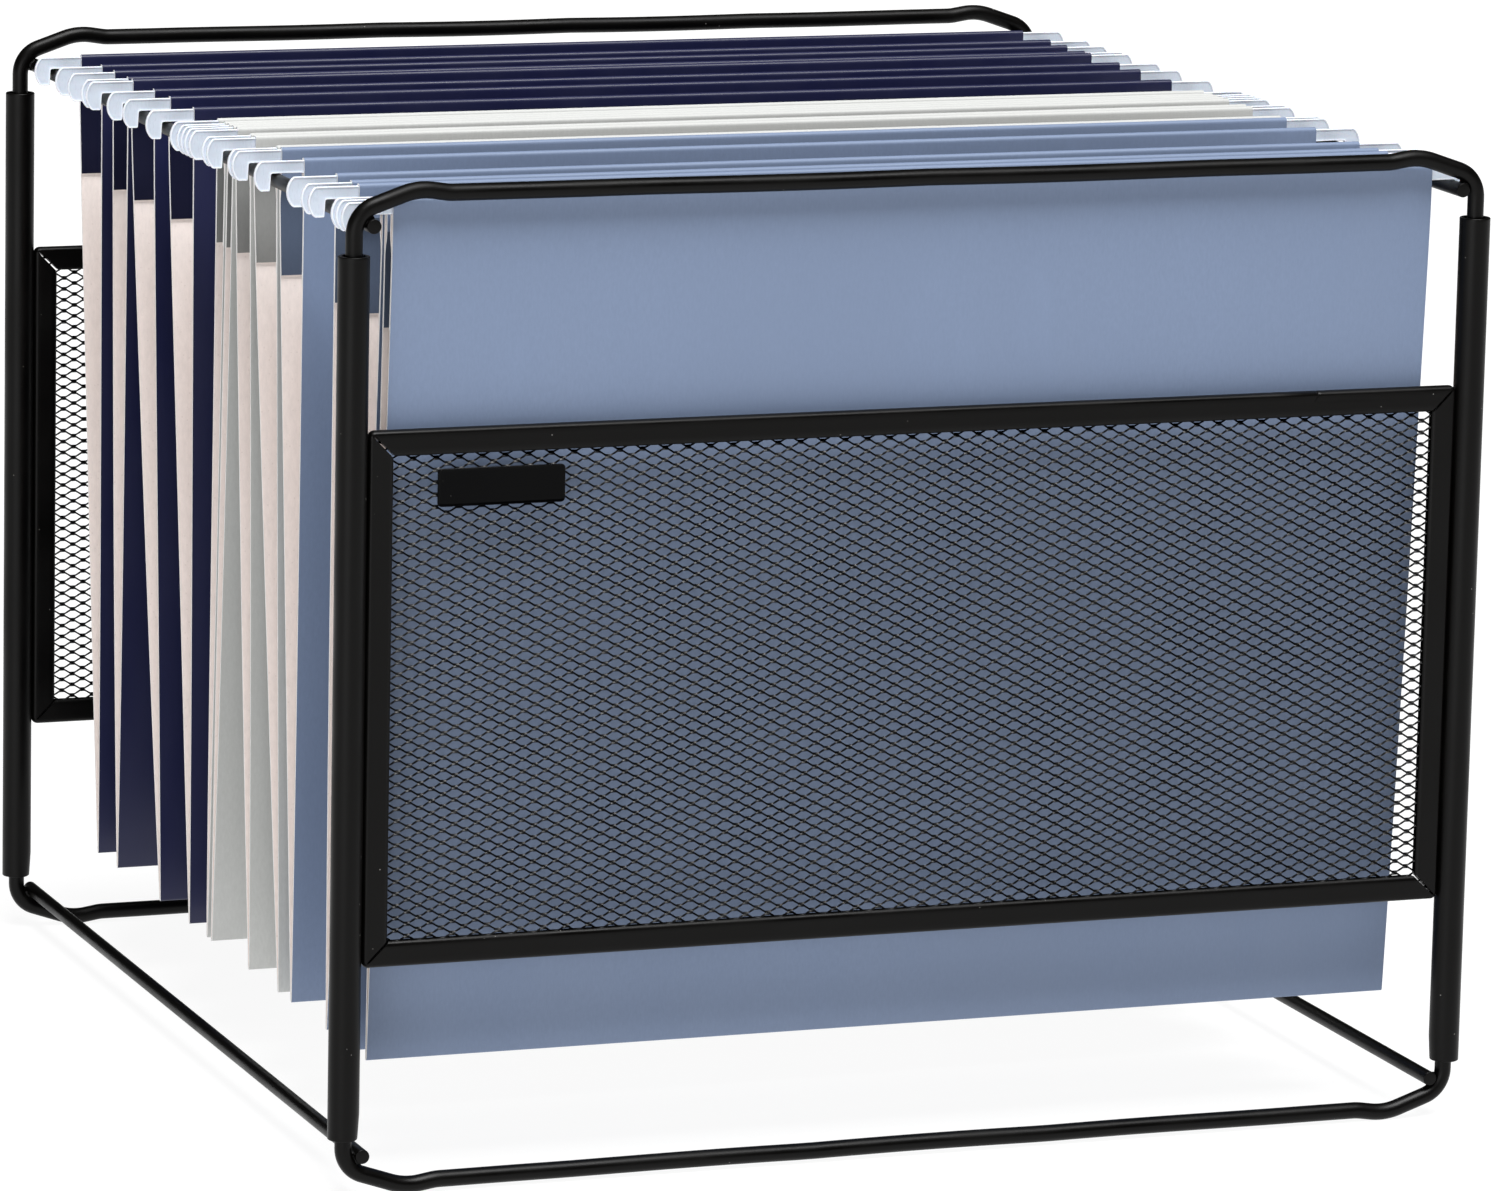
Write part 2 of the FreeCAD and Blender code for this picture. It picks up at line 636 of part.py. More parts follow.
def check(parts):
    """Stop on any failed feature or any sub-part without one valid solid."""
    for item in doc.Objects:
        if "Invalid" in item.State or "Error" in item.State:
            raise RuntimeError(item.Name + " failed: " + str(item.State))
    for item in parts:
        shape = item.Shape
        if shape.isNull() or not shape.isValid():
            raise RuntimeError(item.Label + " has no valid shape")
        if len(shape.Solids) != 1:
            raise RuntimeError(item.Label + " is not one solid")


def write(parts):
    os.makedirs("parts", exist_ok=True)
    for item in parts:
        item.Shape.exportStep(os.path.join("parts", item.Label + ".step"))


fill_sheet()
sub_parts = make_rack()
for folder in FOLDERS:
    sub_parts += make_folder(folder[0])
doc.recompute()
check(sub_parts)
write(sub_parts)
box = FreeCAD.BoundBox()
for item in sub_parts:
    box.add(item.Shape.BoundBox)
print(len(sub_parts), "sub-parts")
print("width %.1f depth %.1f height %.1f" % (box.XLength, box.YLength, box.ZLength))
print("lowest %.3f, middle %.3f %.3f" % (box.ZMin, box.Center.x, box.Center.y))
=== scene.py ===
import json
import math

import bpy
import numpy as np
from mathutils import Matrix, Vector

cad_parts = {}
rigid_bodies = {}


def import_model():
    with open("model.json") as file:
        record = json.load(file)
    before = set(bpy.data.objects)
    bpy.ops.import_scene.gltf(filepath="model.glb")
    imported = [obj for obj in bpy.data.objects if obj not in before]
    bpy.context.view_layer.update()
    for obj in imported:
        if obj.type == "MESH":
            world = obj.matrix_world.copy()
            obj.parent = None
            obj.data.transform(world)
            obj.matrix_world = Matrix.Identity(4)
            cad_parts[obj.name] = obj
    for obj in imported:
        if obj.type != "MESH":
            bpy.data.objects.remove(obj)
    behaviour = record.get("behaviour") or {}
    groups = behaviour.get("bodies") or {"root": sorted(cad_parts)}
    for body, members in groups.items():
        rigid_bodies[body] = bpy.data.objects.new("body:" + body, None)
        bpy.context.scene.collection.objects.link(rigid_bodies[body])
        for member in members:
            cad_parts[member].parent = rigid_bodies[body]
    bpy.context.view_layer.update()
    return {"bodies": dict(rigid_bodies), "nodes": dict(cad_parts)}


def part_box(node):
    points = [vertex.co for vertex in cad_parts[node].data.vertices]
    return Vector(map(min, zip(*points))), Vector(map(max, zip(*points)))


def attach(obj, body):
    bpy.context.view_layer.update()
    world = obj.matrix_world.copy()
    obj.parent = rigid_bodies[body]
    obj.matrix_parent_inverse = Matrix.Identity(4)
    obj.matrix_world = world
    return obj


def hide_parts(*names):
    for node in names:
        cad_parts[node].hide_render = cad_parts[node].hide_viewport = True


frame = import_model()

bl_info = {
    "name": "Hanging file rack",
    "version": (1, 0, 0),
    "blender": (4, 5, 0),
    "location": "3D Viewport > Sidebar > File rack",
    "description": "Builds a black wire desk rack with mesh end panels and a row of hanging folders",
    "category": "Object",
}

MM = 0.001
FOLDERS = sorted(body for body in frame["bodies"] if body != "rack")
ENDS = ("front", "rear")
SIDES = ("left", "right")
ROWS = ("top", "bottom")

SMALLEST_ROUNDING = 0.06 * MM

# Weld beads: place round the rod from level, its variation, and distance by the rod's radius.
WELD_ANGLE, WELD_SHIFT, WELD_REACH = math.radians(35.5), 0.25, 0.82

# Upright tubes: the neck's slack round a leg, its slope, and the dent in the lower end.
NECK_SLACK, NECK_SLOPE = 0.05 * MM, 0.5 * MM
DENT_DEPTH, DENT_HEIGHT = 0.45 * MM, 4 * MM

# Folded strip: slack round the mesh, thickness, and the bevel of its mitred ends.
SLOT_SLACK, STRIP_SHEET = 0.15 * MM, 0.7 * MM
MITRE_RUN, MITRE_SHARE = 1 * MM, 0.707

# Expanded metal: rise of the joints out of the sheet, and a strand's thickness by its width.
JOINT_RISE, STRAND_SHARE = 0.11 * MM, 0.65

# Folded card: half width of the sleeve, radius of the bottom fold, slack of the hem, rows of
# points in the hem, and sharpness of the knee where a flap starts to lean.
SLEEVE, FOLD_RADIUS, HEM_SLACK = 1.2 * MM, 0.4 * MM, 0.06 * MM
HEM_ROWS, KNEE = 14, 0.05

KEY_PLACE, KEY_AIM, KEY_SIZE = (-1.9, -2.3, 0.4), (0.0, 0.0, 0.1), (1.8, 1.2)
OVERHEAD_WAY = (0.04, -0.38, 1.0)
FLOOR_REACH = 14.0


def middle_of(node):
    """Middle of a CAD node's box."""
    low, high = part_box(node)
    return (low + high) / 2


def extent_of(node):
    """Width, depth and height of a CAD node's box."""
    low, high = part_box(node)
    return high - low


WIRE = extent_of("front_top_wire").y / 2
ROD = extent_of("left_file_rail").x / 2
TUBE = extent_of("front_left_upright").x / 2


# ---- sizes and colours


def length(name, default, text):
    """A length property in metres."""
    return bpy.props.FloatProperty(
        name=name, default=default, min=0.0, description=text, subtype="DISTANCE", unit="LENGTH", precision=4
    )


def turn(name, degrees, text):
    """An angle property, given in degrees."""
    default = math.radians(degrees)
    return bpy.props.FloatProperty(name=name, default=default, description=text, subtype="ANGLE")


def factor(name, default, text):
    """A plain number between nought and one."""
    return bpy.props.FloatProperty(
        name=name, default=default, min=0.0, max=1.0, description=text, subtype="FACTOR"
    )


def level(name, default, text):
    """A strength or a focal length, nought or more."""
    return bpy.props.FloatProperty(name=name, default=default, min=0.0, description=text)


def shade(name, red, green, blue, text):
    """A colour property, given as screen values from 0 to 255 and kept as linear light."""
    linear = tuple((value / 255.0) ** 2.2 for value in (red, green, blue))
    return bpy.props.FloatVectorProperty(
        name=name, default=linear, size=3, min=0.0, max=1.0, subtype="COLOR", description=text
    )


class RackWireSizes(bpy.types.PropertyGroup):
    """Bends of the end wires and small sizes of the rods, tubes and welds."""

    corner_radius: length("Corner radius", 8 * MM, "Bend where a leg turns inwards")
    ramp_angle: turn("Ramp angle", 19, "Slope from the corner up to the crest")
    crest_radius: length("Crest radius", 17 * MM, "Bend over the crest")
    crest_inset: length("Crest inset", 19 * MM, "Crest inboard of the leg")
    dip_angle: turn("Dip angle", 9, "Slope from the crest down to the straight middle")
    dip_radius: length("Dip radius", 16 * MM, "Bend at the foot of that slope")
    dip_depth: length("Dip depth", 0.9 * MM, "Straight middle below the crest")
    sway: length("Sway", 0.25 * MM, "Unevenness of the straight middle")
    weld_sink: length("Weld sink", 0.15 * MM, "How far a rod is melted into the wire")
    weld_size: length("Weld size", 1.9 * MM, "Half width of a weld bead")
    bore_radius: length("Bore radius", 3.25 * MM, "Inside of an upright tube")
    grip_inset: length("Grip inset", 8 * MM, "From a tube's end to its neck")
    grip_length: length("Grip length", 9 * MM, "Length of that neck")
    rim: length("Rim", 0.3 * MM, "Rounding of a tube's cut end")


class RackPanelSizes(bpy.types.PropertyGroup):
    """Folded edge strip, expanded metal and blank plate of an end panel."""

    strip_face: length("Strip face", 7 * MM, "Face width of the folded edge strip")
    strip_corner: length("Strip corner", 2 * MM, "Rounding of the strip's outer corners")
    mitre_gap: length("Mitre gap", 0.65 * MM, "Open joint at each corner")
    seam_at: length("Seam place", 115 * MM, "Where the strip's two ends meet")
    diamond_width: length("Diamond width", 6.4 * MM, "Long way of a diamond opening")
    diamond_height: length("Diamond height", 3.3 * MM, "Short way of a diamond opening")
    strand: length("Strand", 0.54 * MM, "Width of a strand of the expanded metal")
    knuckle: length("Knuckle", 0.72 * MM, "Half length of the joint between two strands")
    strand_tilt: turn("Strand tilt", 6, "Twist of the strands out of the sheet")
    knuckle_tilt: turn("Knuckle tilt", 41, "Twist of the joints out of the sheet")
    badge_rim: length("Badge rim", 0.35 * MM, "Raised border of the blank plate")


class RackFolderSizes(bpy.types.PropertyGroup):
    """Card and hanger sizes of the folders."""

    card: length("Card", 0.5 * MM, "Thickness of the card")
    hem_depth: length("Hem depth", 35 * MM, "Coloured border turned over the hanger")
    bar_depth: length("Bar depth", 8 * MM, "Hanger strip inside the sleeve")
    bar_height: length("Bar height", 3.4 * MM, "Hanger strip over the rail")
    hook_drop: length("Hook drop", 8.2 * MM, "Top of the hanger to the tip of its hook")
    hook_tip: length("Hook tip", 2.6 * MM, "Flat tip of the hook")
    hook_bulge: length("Hook bulge", 5.5 * MM, "Radius of the hook's outer side")
    hook_gap: length("Hook gap", 0.3 * MM, "Between the hook and the rail's side")
    rim_width: length("Hook rim", 0.5 * MM, "Raised border round the hanger")
    belly: length("Belly", 1.0 * MM, "How far the flaps bow")


class RackFinishes(bpy.types.PropertyGroup):
    """Colours and gloss of the finishes, with painted shade on the hems and a painted highlight on the
    hangers' borders.
    """

    black: shade("Black coat", 10, 9, 8, "Powder coat of the frame")
    black_roughness: factor("Black roughness", 0.36, "Roughness of the powder coat")
    mesh_roughness: factor("Mesh roughness", 0.24, "Roughness of the coat on the expanded metal")
    badge: shade("Badge black", 8, 8, 9, "Blank plate")
    # Painted highlight: the raised border gets a lighter colour than the hanger's face, for the light its
    # rounded edge catches.
    hanger_rim: shade("Hanger rim", 233, 238, 247, "Raised border of the hangers")
    hanger: shade("Hanger plastic", 203, 212, 225, "Moulded hangers")
    navy: shade("Navy card", 28, 31, 63, "Four folders at the back")
    grey: shade("Grey card", 189, 190, 188, "Four folders in the middle")
    blue: shade("Blue card", 115, 130, 157, "Four folders at the front")
    # Painted shade: each hem's colour is its face's colour darkened by this factor, for the shade the border
    # sits in inside the folder.
    hem_tone: factor("Hem tone", 0.4, "Depth of the border's colour against the face's")
    inside: shade("Card inside", 243, 232, 227, "Uncoloured side of the card")
    edge: shade("Card edge", 254, 252, 250, "Cut edge of the card")
    floor: shade("Floor", 96, 96, 96, "Floor, without the light from below")
    floor_glow: level("Floor glow", 0.93, "Light that comes up through the floor")


class RackStage(bpy.types.PropertyGroup):
    """Camera and lights."""

    azimuth: turn("Azimuth", -20.618, "Camera round the rack, from the front")
    elevation: turn("Elevation", 11.016, "Camera above the horizon")
    roll: turn("Roll", 1.245, "Camera about its own axis")
    distance: length("Distance", 2.42708, "Camera from its target")
    target: bpy.props.FloatVectorProperty(
        name="Target",
        default=(0.01226, 0.00003, 0.12432),
        description="Point looked at",
        subtype="TRANSLATION",
    )
    lens: level("Lens", 202.0, "Focal length in millimetres")
    key: level("Key light", 25.0, "Soft light at the front left")
    overhead: level("Overhead", 5.3, "Broad light from above")
    spread: turn("Overhead spread", 36, "Angular size of the light from above")
    horizon: level("Room at eye level", 0.66, "Room light from the sides")
    zenith: level("Room overhead", 0.8, "Room light from above")


GROUPS = {
    "rack_wire": RackWireSizes,
    "rack_panel": RackPanelSizes,
    "rack_folder": RackFolderSizes,
    "rack_finish": RackFinishes,
    "rack_stage": RackStage,
}


# ---- surfaces


def smooth_step(value):
    """3t^2 - 2t^3 with t held between 0 and 1."""
    t = np.clip(value, 0.0, 1.0)
    return t * t * (3.0 - 2.0 * t)


def points_of(*coordinates):
    """Points from their coordinates, each an array or a number."""
    return np.stack(np.broadcast_arrays(*coordinates), axis=-1)


def grid_quads(rows, columns, close_rows=False, close_columns=False):
    """Quads between neighbours of a grid of points numbered row by row."""
    row = np.arange(rows if close_rows else rows - 1)
    column = np.arange(columns if close_columns else columns - 1)
    row, column = np.meshgrid(row, column, indexing="ij")
    below, beside = (row + 1) % rows, (column + 1) % columns
    here, there = row * columns, below * columns
    return np.stack((here + column, here + beside, there + beside, there + column), axis=-1).reshape(-1, 4)


def closed_quads(rows, columns):
    """Faces of a grid that is wrapped round on itself, with a flat face over each end."""
    first, last = list(range(columns)), list(range((rows - 1) * columns, rows * columns))
    return grid_quads(rows, columns, close_columns=True).tolist() + [first[::-1], last]


def enclosed_volume(points, faces):
    """Sum of a.(b x c) / 6 over the triangles, positive when the faces point outwards."""
    total = 0.0
    for count in sorted({len(face) for face in faces}):
        loops = np.array([face for face in faces if len(face) == count])
        first = points[loops[:, 0]]
        for k in range(1, count - 1):
            second, third = points[loops[:, k]], points[loops[:, k + 1]]
            total += np.einsum("ij,ij->i", first, np.cross(second, third)).sum()
    return total / 6.0


def new_object(name, data):
    """Object linked to the scene."""
    item = bpy.data.objects.new(name, data)
    bpy.context.scene.collection.objects.link(item)
    return item


def add_piece(name, points, faces, finishes, body, replaces=(), indices=None, crease=40.0):
    """Mesh object from arrays, smooth except over sharp angles, riding on a body of the frame."""
    points = np.asarray(points, float).reshape(-1, 3)
    faces = [tuple(int(i) for i in face) for face in faces]
    if enclosed_volume(points - points.mean(axis=0), faces) < 0:
        faces = [face[::-1] for face in faces]
    mesh = bpy.data.meshes.new(name)
    mesh.from_pydata(points.tolist(), [], faces)
    for finish in finishes:
        mesh.materials.append(finish)
    if indices is not None:
        mesh.polygons.foreach_set("material_index", np.asarray(indices, np.int32))
    mesh.polygons.foreach_set("use_smooth", np.ones(len(faces), bool))
    mesh.update()
    mesh.set_sharp_from_angle(angle=math.radians(crease))
    if mesh.validate():
        raise RuntimeError(name + " has faulty faces")
    piece = new_object(name, mesh)
    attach(piece, body)
    if replaces:
        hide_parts(*replaces)
    return piece


def carry_circle(path, side, radius, count=28, end_round=0.25 * MM):
    """Tube: P(s) + r(s) (cos a N(s) + sin a S), with S a fixed side vector and N square to both.

    Both ends are rounded over end_round and closed with a flat disc.
    """
    path = np.asarray(path, float)
    heading = np.gradient(path, axis=0)
    heading /= np.linalg.norm(heading, axis=1)[:, None]
    bend = np.linspace(0.0, math.pi / 2, 5)
    inset = (end_round * (1 - np.cos(bend)))[:, None]
    shrunk = radius - end_round * (1 - np.sin(bend))
    head, tail = path[0] + heading[0] * inset, path[-1] - heading[-1] * inset[::-1]
    line = np.vstack([head, path[1:-1], tail])
    steer = np.vstack([np.repeat(heading[:1], 5, 0), heading[1:-1], np.repeat(heading[-1:], 5, 0)])
    radii = np.concatenate([shrunk, np.full(len(path) - 2, radius), shrunk[::-1]])
    normal = np.cross(steer, side)
    normal /= np.linalg.norm(normal, axis=1)[:, None]
    angle = np.linspace(0.0, 2 * math.pi, count, endpoint=False)
    ring = np.cos(angle)[None, :, None] * normal[:, None, :] + np.sin(angle)[None, :, None] * np.asarray(side)
    points = line[:, None, :] + radii[:, None, None] * ring
    return points.reshape(-1, 3), closed_quads(len(line), count)


def arc(centre, radius, start, end, count):
    """Points on a circle between two angles in degrees, both ends included."""
    angle = np.radians(np.linspace(start, end, count))
    return points_of(centre[0] + radius * np.cos(angle), centre[1] + radius * np.sin(angle))


def round_corners(corners, radii, count=4):
    """Outline with each corner P turned into a parabola (1-t)^2 A + 2t(1-t) P + t^2 B.

    A and B lie on the two sides, as far from P as that corner's radius.
    """
    corners, radii = np.asarray(corners, float), np.asarray(radii, float)
    before, after = np.roll(corners, 1, axis=0) - corners, np.roll(corners, -1, axis=0) - corners
    for way in (before, after):
        way /= np.linalg.norm(way, axis=1)[:, None]
    start, end = corners + before * radii[:, None], corners + after * radii[:, None]
    t = np.linspace(0.0, 1.0, count)[None, :, None]
    curve = (1 - t) ** 2 * start[:, None] + 2 * t * (1 - t) * corners[:, None] + t * t * end[:, None]
    return curve.reshape(-1, 2)


def raise_plate(corners, radii, bands, count=4):
    """Plate: each band is the outline moved inwards by its inset, at its height across the plate.

    The corners run anticlockwise. A corner moves by inset (n1 + n2) / (1 + n1.n2), with n1 and
    n2 the inward normals of its two sides, and a bulging corner's radius shrinks by the inset.
    The first and the last band are closed by flat faces.
    """
    corners, radii = np.asarray(corners, float), np.asarray(radii, float)
    side = np.roll(corners, -1, axis=0) - corners
    side /= np.linalg.norm(side, axis=1)[:, None]
    after = points_of(-side[:, 1], side[:, 0])
    before = np.roll(after, 1, axis=0)
    shift = (before + after) / (1 + (before * after).sum(axis=1))[:, None]
    arriving = np.roll(side, 1, axis=0)
    bulging = arriving[:, 0] * side[:, 1] - arriving[:, 1] * side[:, 0] > 0
    rings = []
    for inset, height in bands:
        shrunk = np.where(bulging, np.maximum(radii - inset, SMALLEST_ROUNDING), radii)
        flat = round_corners(corners + inset * shift, shrunk, count)
        rings.append(points_of(flat[:, 0], height, flat[:, 1]))
    return np.vstack(rings), closed_quads(len(rings), len(rings[0]))


# ---- finishes


class Finish:
    """Small helper that adds and joins the nodes of one finish."""

    def __init__(self, name):
        self.material = bpy.data.materials.new(name)
        self.material.use_nodes = True
        self.tree = self.material.node_tree
        self.shader = self.tree.nodes["Principled BSDF"]
        place = self.add("ShaderNodeTexCoord")
        self.place = place.outputs["Object"]

    def add(self, kind, **values):
        node = self.tree.nodes.new(kind)
        for key, value in values.items():
            setattr(node, key, value)
        return node

    def join(self, source, target):
        self.tree.links.new(source, target)

    def stretched(self, x, y, z):
        """Object coordinates scaled along each axis."""
        node = self.add("ShaderNodeMapping")
        node.inputs["Scale"].default_value = (x, y, z)
        self.join(self.place, node.inputs["Vector"])
        return node.outputs["Vector"]

    def noise(self, scale, detail=2.0, rough=0.5, place=None):
        node = self.add("ShaderNodeTexNoise")
        node.inputs["Scale"].default_value = scale
        node.inputs["Detail"].default_value = detail
        node.inputs["Roughness"].default_value = rough
        self.join(place or self.place, node.inputs["Vector"])
        return node.outputs["Fac"]

    def specks(self, scale, size, soft=0.5, depth=1.0):
        """One round speck in each cell of a Voronoi pattern."""
        node = self.add("ShaderNodeTexVoronoi")
        node.inputs["Scale"].default_value = scale
        self.join(self.place, node.inputs["Vector"])
        return self.spread(node.outputs["Distance"], size * soft, size, depth, 0.0)

    def spread(self, value, low, high, to_low, to_high):
        """A value's range mapped onto another range and held there."""
        node = self.add("ShaderNodeMapRange")
        for socket, number in zip(("From Min", "From Max", "To Min", "To Max"), (low, high, to_low, to_high)):
            node.inputs[socket].default_value = number
        self.join(value, node.inputs["Value"])
        return node.outputs["Result"]

    def mapped(self, noise, low, high):
        """The middle of a noise's range mapped from low to high."""
        return self.spread(noise, 0.3, 0.7, low, high)

    def mottle(self, noise, colour, dark, light):
        """A colour that drifts between two tints of itself."""
        return self.blend(self.mapped(noise, 0.0, 1.0), tint(colour, dark), tint(colour, light))

    def preset(self, socket, value):
        self.shader.inputs[socket].default_value = value

    def times(self, first, second):
        node = self.add("ShaderNodeMath", operation="MULTIPLY")
        self.join(first, node.inputs[0])
        self.join(second, node.inputs[1])
        return node.outputs[0]

    def blend(self, amount, first, second):
        """Colour between two, each a colour or a socket."""
        node = self.add("ShaderNodeMix", data_type="RGBA")
        self.join(amount, node.inputs["Factor"])
        for socket, colour in ((node.inputs[6], first), (node.inputs[7], second)):
            if isinstance(colour, bpy.types.NodeSocket):
                self.join(colour, socket)
            else:
                socket.default_value = (*colour, 1.0)
        return node.outputs[2]

    def bump(self, height, distance, strength=1.0):
        node = self.add("ShaderNodeBump")
        node.inputs["Distance"].default_value = distance
        node.inputs["Strength"].default_value = strength
        self.join(height, node.inputs["Height"])
        self.join(node.outputs["Normal"], self.shader.inputs["Normal"])

    def paint(self, colour):
        self.join(colour, self.shader.inputs["Base Color"])

    def dull(self, value):
        self.join(value, self.shader.inputs["Roughness"])


def tint(colour, amount):
    """A colour made lighter or darker by a factor."""
    return tuple(min(1.0, channel * amount) for channel in colour)


def powder_coat(name, colour, roughness, gloss, grain=1100.0):
    """Satin powder coat: fine orange peel, faint cloudiness, and a few specks of dust."""
    finish = Finish(name)
    cloud = finish.noise(45.0, 3.0)
    peel = finish.noise(grain, 2.0, 0.6)
    body = finish.mottle(cloud, colour, 0.72, 1.3)
    body = finish.blend(finish.spread(peel, 0.35, 0.7, 0.0, 0.35), body, tint(colour, 2.0))
    patches = finish.spread(finish.noise(20.0), 0.52, 0.6, 0.0, 0.6)
    dust = finish.times(finish.specks(240.0, 0.05), patches)
    finish.paint(finish.blend(dust, body, (0.35, 0.34, 0.32)))
    finish.dull(finish.mapped(cloud, roughness - 0.06, roughness + 0.1))
    finish.bump(peel, 0.00005, 0.35)
    finish.preset("Specular IOR Level", gloss)
    return finish.material


def card_face(name, colour, sheen, gloss=0.5):
    """Coloured card: short fibres, a slow drift of tone, and soft scuffs where folders rub."""
    finish = Finish(name)
    fibre = finish.noise(1.0, 3.0, 0.65, finish.stretched(1500.0, 1500.0, 520.0))
    drift = finish.noise(9.0, 2.0)
    scuff = finish.noise(1.0, 4.0, 0.6, finish.stretched(60.0, 60.0, 14.0))
    body = finish.mottle(fibre, colour, 0.95, 1.05)
    body = finish.blend(finish.spread(drift, 0.35, 0.65, 0.0, 0.5), body, tint(colour, 0.93))
    finish.paint(finish.blend(finish.spread(scuff, 0.6, 0.78, 0.0, 0.22), body, tint(colour, 1.18)))
    finish.dull(finish.spread(scuff, 0.3, 0.75, sheen, sheen + 0.16))
    finish.bump(fibre, 0.00003, 0.5)
    finish.preset("Specular IOR Level", gloss)
    return finish.material


def card_inside(name, colour):
    """Raw inner side of the card: pale stock with flecks of fibre."""
    finish = Finish(name)
    fibre = finish.noise(1.0, 4.0, 0.7, finish.stretched(900.0, 900.0, 300.0))
    fleck = finish.specks(520.0, 0.16, 0.4, 0.16)
    body = finish.mottle(fibre, colour, 0.94, 1.04)
    finish.paint(finish.blend(fleck, body, (0.36, 0.27, 0.22)))
    finish.dull(finish.mapped(fibre, 0.72, 0.88))
    finish.bump(fibre, 0.00005, 0.5)
    return finish.material


def card_edge(name, colour):
    """Cut edge of the card: pale core with a slightly torn, uneven tone along its length."""
    finish = Finish(name)
    torn = finish.noise(1.0, 3.0, 0.6, finish.stretched(2600.0, 2600.0, 420.0))
    finish.paint(finish.mottle(torn, colour, 0.86, 1.05))
    finish.dull(finish.mapped(torn, 0.7, 0.9))
    finish.bump(torn, 0.00006, 0.6)
    return finish.material


def moulded_plastic(name, colour):
    """Pale moulded plastic: faint flow marks, small scratches and a soft gloss."""
    finish = Finish(name)
    flow = finish.noise(1.0, 3.0, 0.5, finish.stretched(70.0, 300.0, 260.0))
    scratch = finish.noise(1.0, 2.0, 0.5, finish.stretched(2600.0, 400.0, 500.0))
    finish.paint(finish.mottle(flow, colour, 0.95, 1.05))
    finish.dull(finish.spread(scratch, 0.4, 0.75, 0.27, 0.42))
    finish.bump(scratch, 0.00002, 0.35)
    finish.preset("Subsurface Weight", 0.06)
    finish.preset("Subsurface Scale", 0.001)
    return finish.material


def plain_floor(name, colour, glow):
    """Pale seamless floor, softly lit from below, with a barely visible drift of tone."""
    finish = Finish(name)
    drift = finish.noise(1.2, 2.0)
    finish.paint(finish.mottle(drift, colour, 0.99, 1.01))
    finish.preset("Roughness", 0.9)
    finish.preset("Specular IOR Level", 0.1)
    finish.preset("Emission Color", (1.0, 1.0, 1.0, 1.0))
    finish.preset("Emission Strength", glow)
    return finish.material


def finish_of(kind):
    """The shared material of that kind, made from the scene's settings on first use."""
    known = bpy.data.materials.get(kind)
    if known:
        return known
    look = bpy.context.scene.rack_finish
    recipes = {
        "rack_coat": (powder_coat, look.black, 1.0, look.black_roughness, 0.15),
        "mesh_coat": (powder_coat, look.black, 0.4, look.mesh_roughness, 0.26, 1500.0),
        "plate_coat": (powder_coat, look.badge, 1.0, look.mesh_roughness, 0.07, 2200.0),
        "hanger_white": (moulded_plastic, look.hanger, 1.0),
        # Painted highlight: the hangers' border finish is lighter than their face.
        "hanger_border": (moulded_plastic, look.hanger_rim, 1.0),
        "card_stock": (card_inside, look.inside, 1.0),
        "card_cut": (card_edge, look.edge, 1.0),
        "floor_pale": (plain_floor, look.floor, 1.0, look.floor_glow),
    }
    for name, sheen in (("navy", 0.36), ("grey", 0.55), ("blue", 0.52)):
        recipes[name + "_face"] = (card_face, getattr(look, name), 1.0, sheen)
        # Painted shade: each hem finish is its face colour darkened, for the shade inside the folder.
        recipes[name + "_hem"] = (card_face, getattr(look, name), look.hem_tone, 0.5, 0.15)
    maker, colour, depth, *rest = recipes[kind]
    return maker(kind, tint(colour, depth), *rest)


def add_coated(name, points, faces, replaces=()):
    """Powder-coated piece of the rack."""
    add_piece(name, points, faces, [finish_of("rack_coat")], "rack", replaces)


# ---- wire frame


def bend_drop():
    """Height from the crest of an end wire down to the centre of its corner bend."""
    s = bpy.context.scene.rack_wire
    a = s.ramp_angle
    run = s.crest_inset - s.crest_radius * math.sin(a) - s.corner_radius * (1 - math.sin(a))
    return s.crest_radius * (1 - math.cos(a)) + run * math.tan(a) + s.corner_radius * math.cos(a)


def half_bracket(half, leg_end):
    """Left half of an end wire's centreline, as x and height under the crest.

    Leg, corner arc, ramp, crest arc, slope, dip arc and half of the straight middle,
    each tangent to the next.
    """
    s = bpy.context.scene.rack_wire
    ramp, slope = math.degrees(s.ramp_angle), math.degrees(s.dip_angle)
    corner = arc((-half + s.corner_radius, -bend_drop()), s.corner_radius, 180, 90 + ramp, 16)
    crest = arc((-half + s.crest_inset, -s.crest_radius), s.crest_radius, 90 + ramp, 90 - slope, 14)
    foot_height = -s.dip_depth + s.dip_radius * (1 - math.cos(s.dip_angle))
    foot_x = crest[-1, 0] + (crest[-1, 1] - foot_height) / math.tan(s.dip_angle)
    centre = (foot_x + s.dip_radius * math.sin(s.dip_angle), -s.dip_depth + s.dip_radius)
    dip = arc(centre, s.dip_radius, 270 - slope, 270, 9)
    leg = points_of(-half, np.linspace(leg_end, corner[0, 1], 14)[:-1])
    ramp_mid = (corner[-1] + crest[0])[None] / 2
    middle = points_of(np.linspace(dip[-1, 0], 0.0, 26)[1:], -s.dip_depth)
    return np.vstack([leg, corner, ramp_mid, crest, dip, middle])


